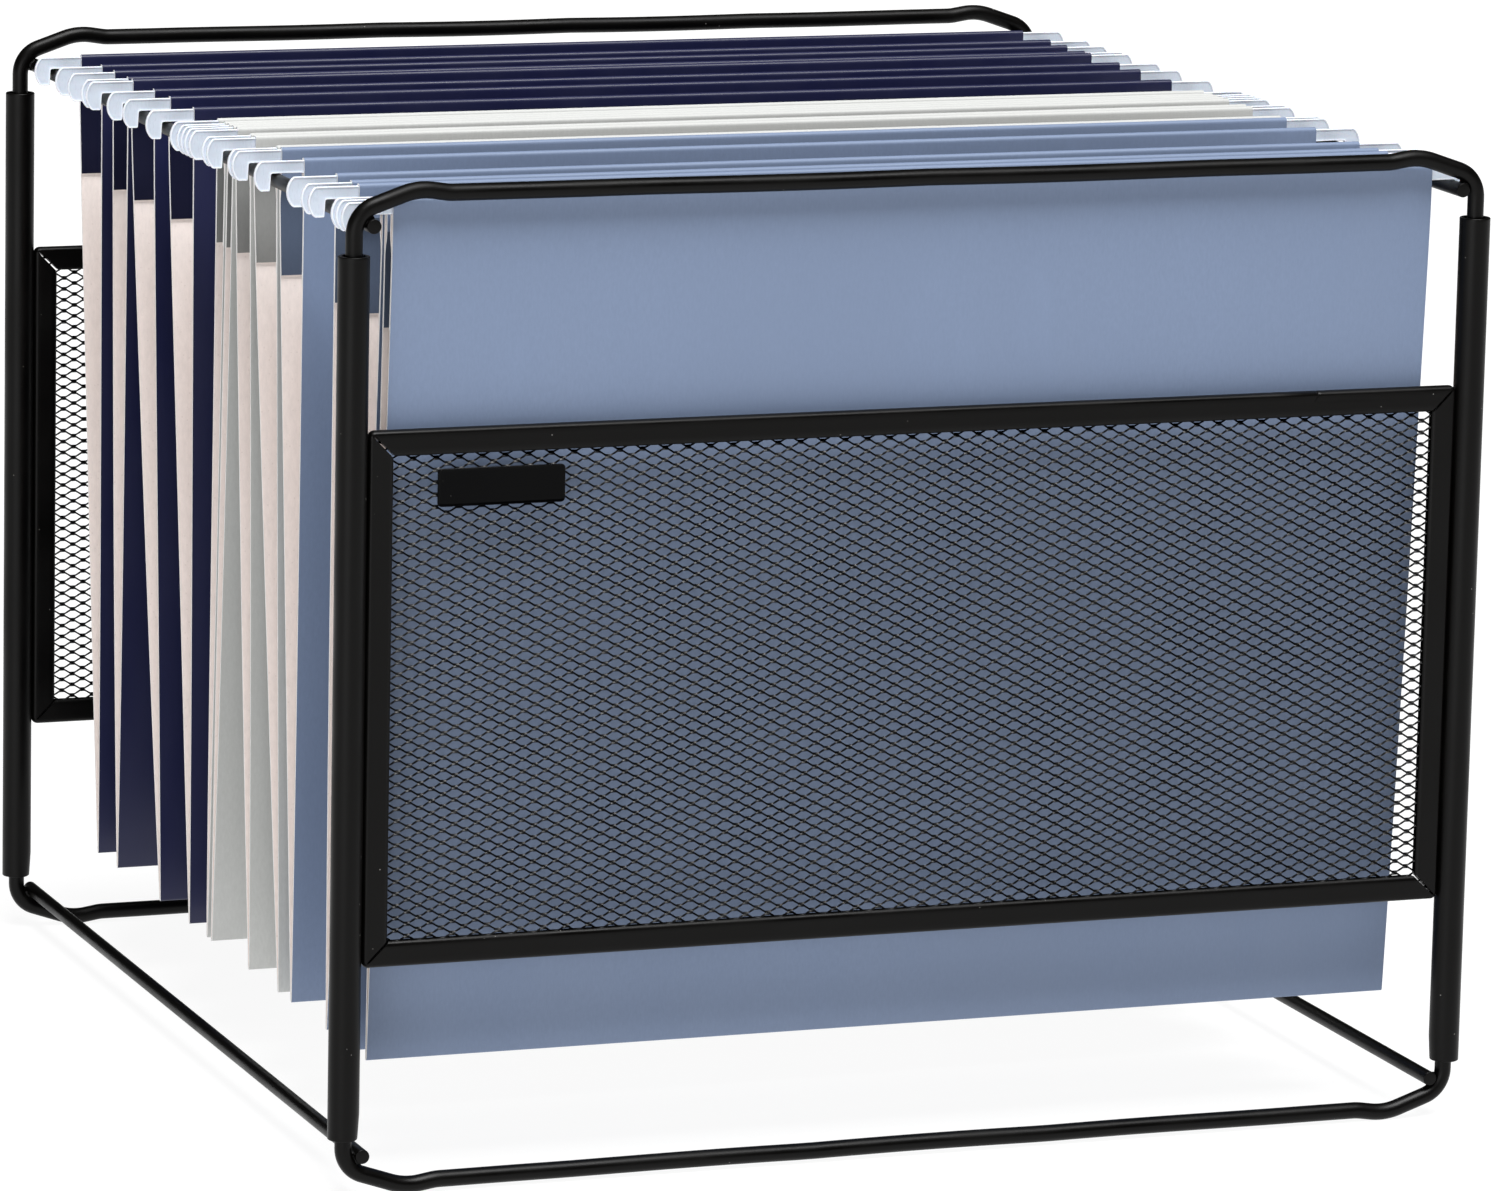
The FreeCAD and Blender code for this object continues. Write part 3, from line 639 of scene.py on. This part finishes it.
class RACK_OT_end_wires(bpy.types.Operator):
    """Bend the four round end wires"""

    bl_idname = "rack.end_wires"
    bl_label = "End wires"

    def execute(self, context):
        s = context.scene.rack_wire
        for number, name in enumerate(end + "_" + row + "_wire" for end in ENDS for row in ROWS):
            low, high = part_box(name)
            upright = 1.0 if "top" in name else -1.0
            crest = high.z - WIRE if upright > 0 else low.z + WIRE
            leg_end = low.z - crest if upright > 0 else crest - high.z
            left = half_bracket(high.x - WIRE, leg_end)
            line = np.vstack([left, left[-2::-1] * (-1, 1)])
            reach = abs(left[:, 0]).max() - 30 * MM
            lean = np.cos(line[:, 0] / reach * math.pi / 2) * (abs(line[:, 0]) < reach)
            sway = s.sway * lean * np.sin(line[:, 0] * (38.0 + 7.0 * number) + 1.3 * number)
            height = crest + upright * (line[:, 1] - abs(sway))
            path = points_of(line[:, 0], (low.y + high.y) / 2, height)
            points, faces = carry_circle(path, (0.0, 1.0, 0.0), WIRE)
            add_coated(name + "_bent", points, faces, [name])
        return {"FINISHED"}


class RACK_OT_rods(bpy.types.Operator):
    """Make the two file rails and the two base rods"""

    bl_idname = "rack.rods"
    bl_label = "Rails and base rods"

    def execute(self, context):
        for name in (side + "_" + kind for side in SIDES for kind in ("file_rail", "base_rod")):
            low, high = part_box(name)
            middle = (low + high) / 2
            path = points_of(middle.x, np.linspace(low.y, high.y, 60), middle.z)
            points, faces = carry_circle(path, (1.0, 0.0, 0.0), ROD)
            add_coated(name + "_rod", points, faces, [name])
        return {"FINISHED"}


def weld_bead(number, size):
    """Flattened ball of radius 1 + 0.1 sin(3u + 2n) sin(2v) + 0.07 cos(5v + 3u + n).

    u goes round, v from pole to pole, and n is the bead's number, so no two are alike.
    """
    u = np.linspace(0, 2 * math.pi, 28, endpoint=False)
    v = np.linspace(0, math.pi, 18)[1:-1]
    v, u = np.meshgrid(v, u, indexing="ij")
    ball = points_of(np.sin(v) * np.cos(u), np.sin(v) * np.sin(u), np.cos(v))
    radius = 1 + 0.1 * np.sin(3 * u + 2 * number) * np.sin(2 * v)
    radius = radius + 0.07 * np.cos(5 * v + 3 * u + number)
    bead = ball * radius[..., None] * (size * 0.9, size * 0.82, size)
    return bead.reshape(-1, 3), closed_quads(*v.shape)


class RACK_OT_welds(bpy.types.Operator):
    """Lay the weld beads between the rods and the end wires"""

    bl_idname = "rack.welds"
    bl_label = "Weld beads"

    def execute(self, context):
        s = context.scene.rack_wire
        joints = [(end, side, row) for end in ENDS for side in SIDES for row in ROWS]
        for number, (end, side, row) in enumerate(joints, 1):
            rod = middle_of(side + ("_file_rail" if row == "top" else "_base_rod"))
            wire = middle_of(end + "_" + row + "_wire")
            away = math.copysign(ROD * WELD_REACH, rod.x)
            up = ROD * WELD_REACH if row == "top" else -ROD * WELD_REACH
            inward = s.weld_sink if end == "front" else -s.weld_sink
            angle = WELD_ANGLE + WELD_SHIFT * math.sin(number)
            centre = (rod.x + away * math.cos(angle), wire.y + inward, rod.z + up * math.sin(angle))
            points, faces = weld_bead(number, s.weld_size)
            add_coated("_".join((end, side, row, "weld")), points + centre, faces)
        return {"FINISHED"}


def tube_section(bottom, top, s):
    """Section of an upright as radius and height: rounded rims, straight shaft, stepped bore.

    Near each end the bore narrows to a neck that grips the leg.
    """
    wall, neck = s.bore_radius, WIRE + NECK_SLACK
    upper = arc((TUBE - s.rim, top - s.rim), s.rim, 0, 90, 5)
    lower = arc((TUBE - s.rim, bottom + s.rim), s.rim, -90, 0, 5)
    shaft = points_of(TUBE, np.linspace(bottom + 1 * MM, top - 1 * MM, 40))
    grip_end = s.grip_inset + s.grip_length
    bore = [(wall + s.rim / 2, 0.0), (wall, s.rim / 2), (wall, s.grip_inset - NECK_SLOPE)]
    bore += [(neck, s.grip_inset), (neck, grip_end), (wall, grip_end + NECK_SLOPE)]
    down = [(radius, top - depth) for radius, depth in bore]
    up = [(radius, bottom + depth) for radius, depth in bore[::-1]]
    return np.vstack([lower, shaft, upper, down, up])


class RACK_OT_uprights(bpy.types.Operator):
    """Turn the four upright tubes"""

    bl_idname = "rack.uprights"
    bl_label = "Upright tubes"

    def execute(self, context):
        angle = np.linspace(0, 2 * math.pi, 48, endpoint=False)
        for name in (end + "_" + side + "_upright" for end in ENDS for side in SIDES):
            low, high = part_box(name)
            middle = (low + high) / 2
            section = tube_section(low.z, high.z, context.scene.rack_wire)
            radius, height = section[:, 0][:, None], section[:, 1][:, None]
            # The lower end is pressed in a little on the side that faces the rack's middle.
            facing = np.cos(angle[None] - (math.pi if middle.x > 0 else 0.0))
            near_end = smooth_step((low.z + DENT_HEIGHT - height) / DENT_HEIGHT)
            radius = radius - DENT_DEPTH * near_end * smooth_step(facing)
            x = middle.x + radius * np.cos(angle)[None]
            y = middle.y + radius * np.sin(angle)[None]
            faces = grid_quads(len(section), len(angle), True, True)
            add_coated(name + "_tube", points_of(x, y, height), faces, [name])
        return {"FINISHED"}


# ---- end panels


def strip_section(depth, slot, wall, face):
    """Closed section of the folded strip, as distance from the outer edge and height across.

    The sheet is doubled over: round at the outer edge, open towards the mesh, its two
    lips rolled in a little at the inner edge.
    """
    half = depth / 2
    bend = arc((half * 0.75, 0.0), half * 0.75, 270, 90, 13)
    bend = points_of(bend[:, 0], bend[:, 1] / 0.75)
    flat = np.linspace(half * 1.4, face - 1.3 * MM, 6)
    lip = [(face - 0.7 * MM, half - 0.12 * MM), (face - 0.25 * MM, half - 0.4 * MM), (face, half - 0.8 * MM)]
    rear = np.vstack([points_of(flat, half), lip])
    inner = [(face - 0.2 * MM, slot), (face - 2 * MM, slot), (wall + 0.4 * MM, slot), (wall, 0.0)]
    front_inner = [(w, -h) for w, h in inner[:-1]][::-1]
    return np.vstack([rear[::-1] * (1, -1), bend, rear, inner, front_inner])


def mitred_run(section, reach, height, seam, s):
    """One side of the folded strip: its distance along, outwards and across, each as a grid.

    A point of the section w in from the outer edge lies at height - w. At each end the side
    turns by 45 degrees round the strip's corner, and past that radius it is cut to a mitre.
    A seam is a groove, deep as exp(-(distance / 0.2 mm)^2).
    """
    w, across = section[:, 0][None, :], section[:, 1][None, :]
    t = np.linspace(0.0, 1.0, 7)[1:][:, None]
    corner, turn_by = s.strip_corner, t * math.pi / 4
    near, sharp = np.maximum(corner - w, 0.0), w >= corner
    bevel = reach - w - (1 - t) * MITRE_RUN
    end_a = np.where(sharp, bevel, reach - corner + near * np.sin(turn_by))
    end_o = np.where(sharp, height - w, height - corner + near * np.cos(turn_by))
    end_a = end_a - s.mitre_gap * MITRE_SHARE * smooth_step((w - 0.8 * MM) / (0.6 * MM)) * t
    start_a = np.where(sharp, reach - w - MITRE_RUN, reach - corner)
    stretch = np.linspace(-1.0, 1.0, 25)
    if seam:
        close = -s.seam_at / start_a.max() + np.array([-2, -1, 0, 1, 2]) * 0.0012
        stretch = np.sort(np.concatenate([stretch, close]))
    stretch = stretch[:, None]
    a = np.vstack([-end_a[::-1], stretch * start_a, end_a])
    o = np.vstack([end_o[::-1], np.broadcast_to(height - w, (len(stretch), w.size)), end_o])
    y = np.broadcast_to(across, a.shape)
    if seam:
        groove = np.exp(-(((a + s.seam_at) / (0.2 * MM)) ** 2))
        o = o - 0.16 * MM * groove * (w < 1 * MM)
        y = y - np.sign(y) * 0.2 * MM * groove
    return a, o, y


class RACK_OT_panel_frames(bpy.types.Operator):
    """Fold the mitred strip round each end panel"""

    bl_idname = "rack.panel_frames"
    bl_label = "Panel frames"

    def execute(self, context):
        s = context.scene.rack_panel
        for end in ENDS:
            name = end + "_panel_frame"
            middle, size = middle_of(name), extent_of(name)
            slot = extent_of(end + "_mesh").y / 2 + SLOT_SLACK
            section = strip_section(size.y, slot, STRIP_SHEET, s.strip_face)
            w, h = size.x / 2, size.z / 2
            sides = [((1, 0), (0, -1), w, h), ((0, 1), (1, 0), h, w)]
            sides += [((-1, 0), (0, 1), w, h), ((0, -1), (-1, 0), h, w)]
            points, faces = [], []
            for number, (along, outward, reach, height) in enumerate(sides):
                seam = number == 2 and end == "front"
                a, o, y = mitred_run(section, reach, height, seam, s)
                x = middle.x + a * along[0] + o * outward[0]
                z = middle.z + a * along[1] + o * outward[1]
                base = sum(len(block) for block in points)
                points.append(points_of(x, middle.y + y, z).reshape(-1, 3))
                faces += [[base + i for i in face] for face in closed_quads(*a.shape)]
            add_coated(name + "_strip", np.vstack(points), faces, [name])
        return {"FINISHED"}


def expanded_metal(size, s):
    """Points and faces of a slit and stretched sheet, about its own middle.

    Ribbon j of n lies at (j - (n - 1) / 2) h, and swings by (h - strand) / 2 to meet its
    neighbours at the joints: down where i + j is even, up where it is odd. Its section is a
    rectangle, twisted by one angle at the joints and by another halfway between them.
    """
    half_w, half_h, strand = s.diamond_width / 2, s.diamond_height / 2, s.strand
    columns = 2 * int(size.x / 2 / half_w) + 1
    ribbons = 2 * int(size.z / 2 / half_h)
    i, j = np.arange(columns), np.arange(ribbons)[:, None]
    swing = np.where((i[None] + j) % 2 == 0, -1.0, 1.0)
    centre = (i - (columns - 1) / 2) * half_w
    x = points_of(centre - s.knuckle, centre + s.knuckle, centre + half_w / 2).reshape(-1)[:-1]
    swing = points_of(swing, swing, 0 * swing).reshape(ribbons, -1)[:, :-1]
    z = (j - (ribbons - 1) / 2) * half_h + swing * (half_h / 2 - strand / 2)
    tilt = np.tile([s.knuckle_tilt, s.knuckle_tilt, s.strand_tilt], columns)[:-1, None]
    corner = np.array([(-0.5, -0.5), (0.5, -0.5), (0.5, 0.5), (-0.5, 0.5)])
    corner = corner * (strand, strand * STRAND_SHARE)
    across = corner[:, 0] * np.sin(tilt) + corner[:, 1] * np.cos(tilt)
    high = corner[:, 0] * np.cos(tilt) - corner[:, 1] * np.sin(tilt)
    y = (-swing * JOINT_RISE)[..., None] + across
    points = points_of(x[None, :, None], y, z[..., None] + high)
    one = np.array(closed_quads(len(x), 4))
    faces = one[None] + (np.arange(ribbons) * len(x) * 4)[:, None, None]
    return points.reshape(-1, 3), faces.reshape(-1, 4)


class RACK_OT_mesh_sheets(bpy.types.Operator):
    """Slit and stretch the expanded metal of each end panel"""

    bl_idname = "rack.mesh_sheets"
    bl_label = "Expanded metal"

    def execute(self, context):
        for end in ENDS:
            name = end + "_mesh"
            points, faces = expanded_metal(extent_of(name), context.scene.rack_panel)
            points = points + np.array(middle_of(name))
            coat = finish_of("mesh_coat")
            add_piece(name + "_diamonds", points, faces, [coat], "rack", [name])
        return {"FINISHED"}


class RACK_OT_badge(bpy.types.Operator):
    """Press the small blank plate on the front mesh"""

    bl_idname = "rack.badge"
    bl_label = "Blank plate"

    def execute(self, context):
        rim = context.scene.rack_panel.badge_rim
        middle, size = middle_of("badge"), extent_of("badge")
        w, h, t = size.x / 2, size.z / 2, size.y / 2
        corners = [(-w, -h), (w, -h), (w, h), (-w, h)]
        bands = [(rim * 2.4, -t * 0.72), (rim * 1.5, -t * 0.72), (rim, -t), (rim * 0.4, -t)]
        bands += [(0.0, -t + 0.15 * MM), (0.0, t - 0.1 * MM), (0.1 * MM, t)]
        points, faces = raise_plate(corners, [1.3 * MM] * 4, bands, 9)
        points = points + np.array(middle)
        add_piece("badge_plate", points, faces, [finish_of("plate_coat")], "rack", ["badge"])
        return {"FINISHED"}


# ---- folders


def fold_line(card):
    """Middle of a card's bottom fold, from the lowest points of its CAD node."""
    mesh = frame["nodes"][card].data
    flat = np.empty(len(mesh.vertices) * 3, np.float32)
    mesh.vertices.foreach_get("co", flat)
    points = flat.reshape(-1, 3)
    lowest = points[points[:, 2] < points[:, 2].min() + 0.05 * MM]
    return float(lowest[:, 1].mean())


def flap_line(hanger_y, fold_y, way, top, bottom, s):
    """Section of one flap from the hem's end, over the hanger, down to the fold.

    The outer leaf runs plumb past the hanger and then leans to the fold as
    (sqrt(u^2 + c^2) - c), with a sine belly. The hem is one card inside it, and opens
    into a sleeve round the hanger. Over the hanger the card is a superellipse.
    """
    t = s.card
    sleeve = SLEEVE - t / 2
    foot, crown = top - s.bar_depth - SLEEVE, top - SLEEVE
    start, end = hanger_y + way * sleeve, fold_y + way * FOLD_RADIUS

    def outer(z):
        u = np.clip((foot + 3 * MM - z) / (foot + 3 * MM - bottom), 0.0, 1.0)
        lean = (np.sqrt(u * u + KNEE * KNEE) - KNEE) / (math.sqrt(1 + KNEE * KNEE) - KNEE)
        return start + (end - start) * lean + way * s.belly * np.sin(math.pi * u) * u

    hem_z = np.linspace(top - s.hem_depth, foot, HEM_ROWS)
    hem_z = np.concatenate([hem_z, np.linspace(foot, crown, 9)[1:]])
    beside = outer(hem_z) - way * (t + HEM_SLACK)
    opened = smooth_step((hem_z - foot + 6 * MM) / (6 * MM))
    hem_y = beside * (1 - opened) + (hanger_y - way * sleeve) * opened
    a = np.linspace(0.0, math.pi, 17)[1:-1]
    bulge = 2.0 / 2.7
    crown_y = hanger_y - way * sleeve * np.sign(np.cos(a)) * np.abs(np.cos(a)) ** bulge
    crown_z = crown + sleeve * np.abs(np.sin(a)) ** bulge
    drop = np.concatenate([np.linspace(crown, foot, 8), np.linspace(foot, bottom + 0.7 * MM, 44)[1:]])
    y = np.concatenate([hem_y, crown_y, outer(drop)])
    z = np.concatenate([hem_z, crown_z, drop])
    return y, z


def folded_card(folder, number, s):
    """Grid round a folder's card: rows of its section by points along its width.

    The section runs down the front flap, round the fold and up the rear one, outside and then
    back inside, each half the card's thickness off its middle line. The flaps ripple apart by
    sin(19x) + sin(47x) / 2 times the sine of the way down, and the fold stays where it is.
    """
    low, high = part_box(folder + "_card")
    front, rear = middle_of(folder + "_front_hanger").y, middle_of(folder + "_rear_hanger").y
    fold = fold_line(folder + "_card")
    front_y, front_z = flap_line(front, fold, -1.0, high.z, low.z, s)
    rear_y, rear_z = flap_line(rear, fold, 1.0, high.z, low.z, s)
    a = np.radians(np.linspace(180, 360, 11))[1:-1]
    bend_y = fold + FOLD_RADIUS * np.cos(a)
    bend_z = low.z + FOLD_RADIUS + s.card / 2 + FOLD_RADIUS * np.sin(a)
    y = np.concatenate([front_y, bend_y, rear_y[::-1]])
    z = np.concatenate([front_z, bend_z, rear_z[::-1]])
    turning = np.linspace(-1, 1, len(bend_y))
    share = np.concatenate([-np.ones(len(front_y)), turning, np.ones(len(rear_y))])[:, None]
    down = np.clip((high.z - 12 * MM - z) / (high.z - low.z), 0.0, 1.0)
    x = np.linspace(low.x, high.x, 33)
    wave = np.sin(x[None] * 19.0 + number * 1.7 + share) + 0.5 * np.sin(x[None] * 47.0 + number)
    room = 0.22 * MM + 0.02 * abs(rear - front)
    ripple = room * np.sin(math.pi * down)[:, None] * wave
    step_y, step_z = np.gradient(y), np.gradient(z)
    size = np.hypot(step_y, step_z)
    out_y, out_z = step_z / size * s.card / 2, -step_y / size * s.card / 2
    sheets = [
        points_of(x[None], (y + way * out_y)[:, None] + ripple, (z + way * out_z)[:, None])
        for way in (1.0, -1.0)
    ]
    return np.concatenate([sheets[0], sheets[1][::-1]])


class RACK_OT_cards(bpy.types.Operator):
    """Fold the twelve folder cards over their hangers"""

    bl_idname = "rack.cards"
    bl_label = "Folder cards"

    def execute(self, context):
        for number, folder in enumerate(FOLDERS):
            name = folder + "_card"
            loop = folded_card(folder, number, context.scene.rack_folder)
            rows, columns = len(loop) // 2, loop.shape[1]
            faces = grid_quads(2 * rows, columns, close_rows=True)
            kind = np.repeat(np.arange(2 * rows), columns - 1)
            outside, inside = kind < rows - 1, (kind >= rows) & (kind < 2 * rows - 1)
            # Index 3 puts the hem finish, darkened as painted shade, on the hems' coloured sides.
            hem = outside & ((kind < HEM_ROWS - 1) | (kind >= rows - HEM_ROWS))
            indices = np.where(hem, 3, np.where(outside, 0, np.where(inside, 1, 2)))
            i = np.arange(rows - 1)
            left = points_of(i, i + 1, 2 * rows - 2 - i, 2 * rows - 1 - i) * columns
            sides = np.vstack([left, left[:, ::-1] + columns - 1])
            faces = np.vstack([faces, sides])
            indices = np.concatenate([indices, np.full(len(sides), 2)])
            colour = folder.split("_")[0]
            kinds = (colour + "_face", "card_stock", "card_cut", colour + "_hem")
            finishes = [finish_of(each) for each in kinds]
            add_piece(name + "_folded", loop, faces, finishes, folder, [name], indices)
        return {"FINISHED"}


def hanger_outline(node, s):
    """Corners of a hanger, anticlockwise from the right half to its mirror, and their radii."""
    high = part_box(node)[1]
    hook = middle_of("right_file_rail").x + ROD + s.hook_gap
    bulge = s.hook_bulge
    rise = s.hook_drop / 2
    side = high.x - (bulge - math.sqrt(bulge**2 - rise**2))
    top, tip = high.z, high.z - s.hook_drop
    notch = top - s.bar_height
    card_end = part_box(FOLDERS[0] + "_card")[1].x
    spread = math.degrees(math.asin(rise / bulge))
    outer = arc((high.x - bulge, (top + tip) / 2), bulge, -spread, spread, 9)
    step = card_end - 0.5 * MM
    half = [(step, top - s.bar_depth), (step, notch), (hook, notch)]
    half += [(side - s.hook_tip, tip)] + outer.tolist()
    radii = [0.3 * MM, 0.5 * MM, 0.6 * MM, 0.4 * MM, 0.3 * MM] + [0.25 * MM] * 7 + [0.5 * MM]
    corners = np.array(half + [(-x, z) for x, z in half[::-1]])
    return corners, radii + radii[::-1]


class RACK_OT_hangers(bpy.types.Operator):
    """Mould the twenty-four hangers with their hooks"""

    bl_idname = "rack.hangers"
    bl_label = "Hangers"

    def execute(self, context):
        s = context.scene.rack_folder
        for folder in FOLDERS:
            for name in (folder + "_front_hanger", folder + "_rear_hanger"):
                corners, radii = hanger_outline(name, s)
                t = extent_of(name).y / 2
                rim = s.rim_width
                front = [(rim * 1.5, t - 0.12 * MM), (rim, t - 0.1 * MM), (rim * 0.7, t), (rim * 0.25, t)]
                front += [(0.0, t - 0.16 * MM)]
                bands = [(inset, -height) for inset, height in front] + front[::-1]
                points, faces = raise_plate(corners, radii, bands)
                points[:, 1] += middle_of(name).y
                # The border's faces lie between the second band from either end and take the lighter finish,
                # a painted highlight; the rest is sunk.
                band = np.arange(len(faces)) * len(bands) // len(points)
                highlighted_border = (band > 1) & (band < len(bands) - 3)
                finishes = [finish_of("hanger_white"), finish_of("hanger_border")]
                new, kinds = name + "_moulded", highlighted_border.astype(int)
                add_piece(new, points, faces, finishes, folder, [name], kinds)
        return {"FINISHED"}


# ---- stage


def aim_light(data, spot, aim):
    """Lamp object at a spot, turned towards its aim."""
    light = new_object(data.name, data)
    light.location = spot
    light.rotation_mode = "QUATERNION"
    light.rotation_quaternion = (Vector(spot) - Vector(aim)).to_track_quat("Z", "Y")


def key_light(power):
    """Rectangular soft light at the front left."""
    data = bpy.data.lights.new("key_light", "AREA")
    data.shape = "RECTANGLE"
    data.size, data.size_y = KEY_SIZE
    data.energy = power
    aim_light(data, KEY_PLACE, KEY_AIM)


def overhead_light(strength, spread):
    """Broad even light from above."""
    data = bpy.data.lights.new("overhead_light", "SUN")
    data.energy, data.angle = strength, spread
    aim_light(data, OVERHEAD_WAY, (0.0, 0.0, 0.0))


def room_light(horizon, zenith):
    """Room whose light grows with the height of the direction."""
    world = bpy.data.worlds.new("room")
    world.use_nodes = True
    tree = world.node_tree
    place = tree.nodes.new("ShaderNodeTexCoord")
    split = tree.nodes.new("ShaderNodeSeparateXYZ")
    spread = tree.nodes.new("ShaderNodeMapRange")
    spread.inputs["To Min"].default_value = horizon
    spread.inputs["To Max"].default_value = zenith
    tree.links.new(place.outputs["Generated"], split.inputs[0])
    tree.links.new(split.outputs["Z"], spread.inputs["Value"])
    tree.links.new(spread.outputs["Result"], tree.nodes["Background"].inputs["Strength"])
    return world


class RACK_OT_stage(bpy.types.Operator):
    """Set out the floor, the lights and the camera"""

    bl_idname = "rack.stage"
    bl_label = "Floor, lights and camera"

    def execute(self, context):
        scene, s = context.scene, context.scene.rack_stage
        corners = [(FLOOR_REACH * x, FLOOR_REACH * y, 0.0) for x, y in ((-1, -1), (1, -1), (1, 1), (-1, 1))]
        mesh = bpy.data.meshes.new("floor")
        mesh.from_pydata(corners, [], [(0, 1, 2, 3)])
        mesh.materials.append(finish_of("floor_pale"))
        new_object("floor", mesh)
        key_light(s.key)
        overhead_light(s.overhead, s.spread)
        scene.world = room_light(s.horizon, s.zenith)
        scene.view_settings.view_transform = "Standard"
        a, e = s.azimuth, s.elevation
        back = Vector((math.sin(a) * math.cos(e), -math.cos(a) * math.cos(e), math.sin(e)))
        right = Vector((math.cos(a), math.sin(a), 0.0))
        up = back.cross(right)
        tilted_right = math.cos(s.roll) * right + math.sin(s.roll) * up
        tilted_up = -math.sin(s.roll) * right + math.cos(s.roll) * up
        place = Vector(s.target) + back * s.distance
        data = bpy.data.cameras.new("camera")
        data.lens = s.lens
        data.sensor_width = 36.0
        data.clip_start, data.clip_end = 0.05, 60.0
        camera = new_object("camera", data)
        columns = Matrix((tilted_right, tilted_up, back)).transposed()
        camera.matrix_world = Matrix.Translation(place) @ columns.to_4x4()
        scene.camera = camera
        return {"FINISHED"}


class RACK_PT_panel(bpy.types.Panel):
    """Buttons and sizes of the file rack"""

    bl_label = "Hanging file rack"
    bl_idname = "RACK_PT_panel"
    bl_space_type = "VIEW_3D"
    bl_region_type = "UI"
    bl_category = "File rack"

    def draw(self, context):
        for operator in OPERATORS:
            self.layout.operator(operator.bl_idname)
        for key, group in GROUPS.items():
            box = self.layout.box()
            for name in group.__annotations__:
                box.prop(getattr(context.scene, key), name)


OPERATORS = (
    RACK_OT_stage,
    RACK_OT_end_wires,
    RACK_OT_rods,
    RACK_OT_welds,
    RACK_OT_uprights,
    RACK_OT_panel_frames,
    RACK_OT_mesh_sheets,
    RACK_OT_badge,
    RACK_OT_cards,
    RACK_OT_hangers,
)


def register():
    for item in (*GROUPS.values(), *OPERATORS, RACK_PT_panel):
        bpy.utils.register_class(item)
    for key, group in GROUPS.items():
        setattr(bpy.types.Scene, key, bpy.props.PointerProperty(type=group))


def unregister():
    for key in GROUPS:
        delattr(bpy.types.Scene, key)
    for item in reversed((*GROUPS.values(), *OPERATORS, RACK_PT_panel)):
        bpy.utils.unregister_class(item)


def main():
    """Register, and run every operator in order."""
    register()
    for operator in OPERATORS:
        group, name = operator.bl_idname.split(".")
        getattr(getattr(bpy.ops, group), name)()
    bpy.context.view_layer.update()


if __name__ == "__main__":
    main()
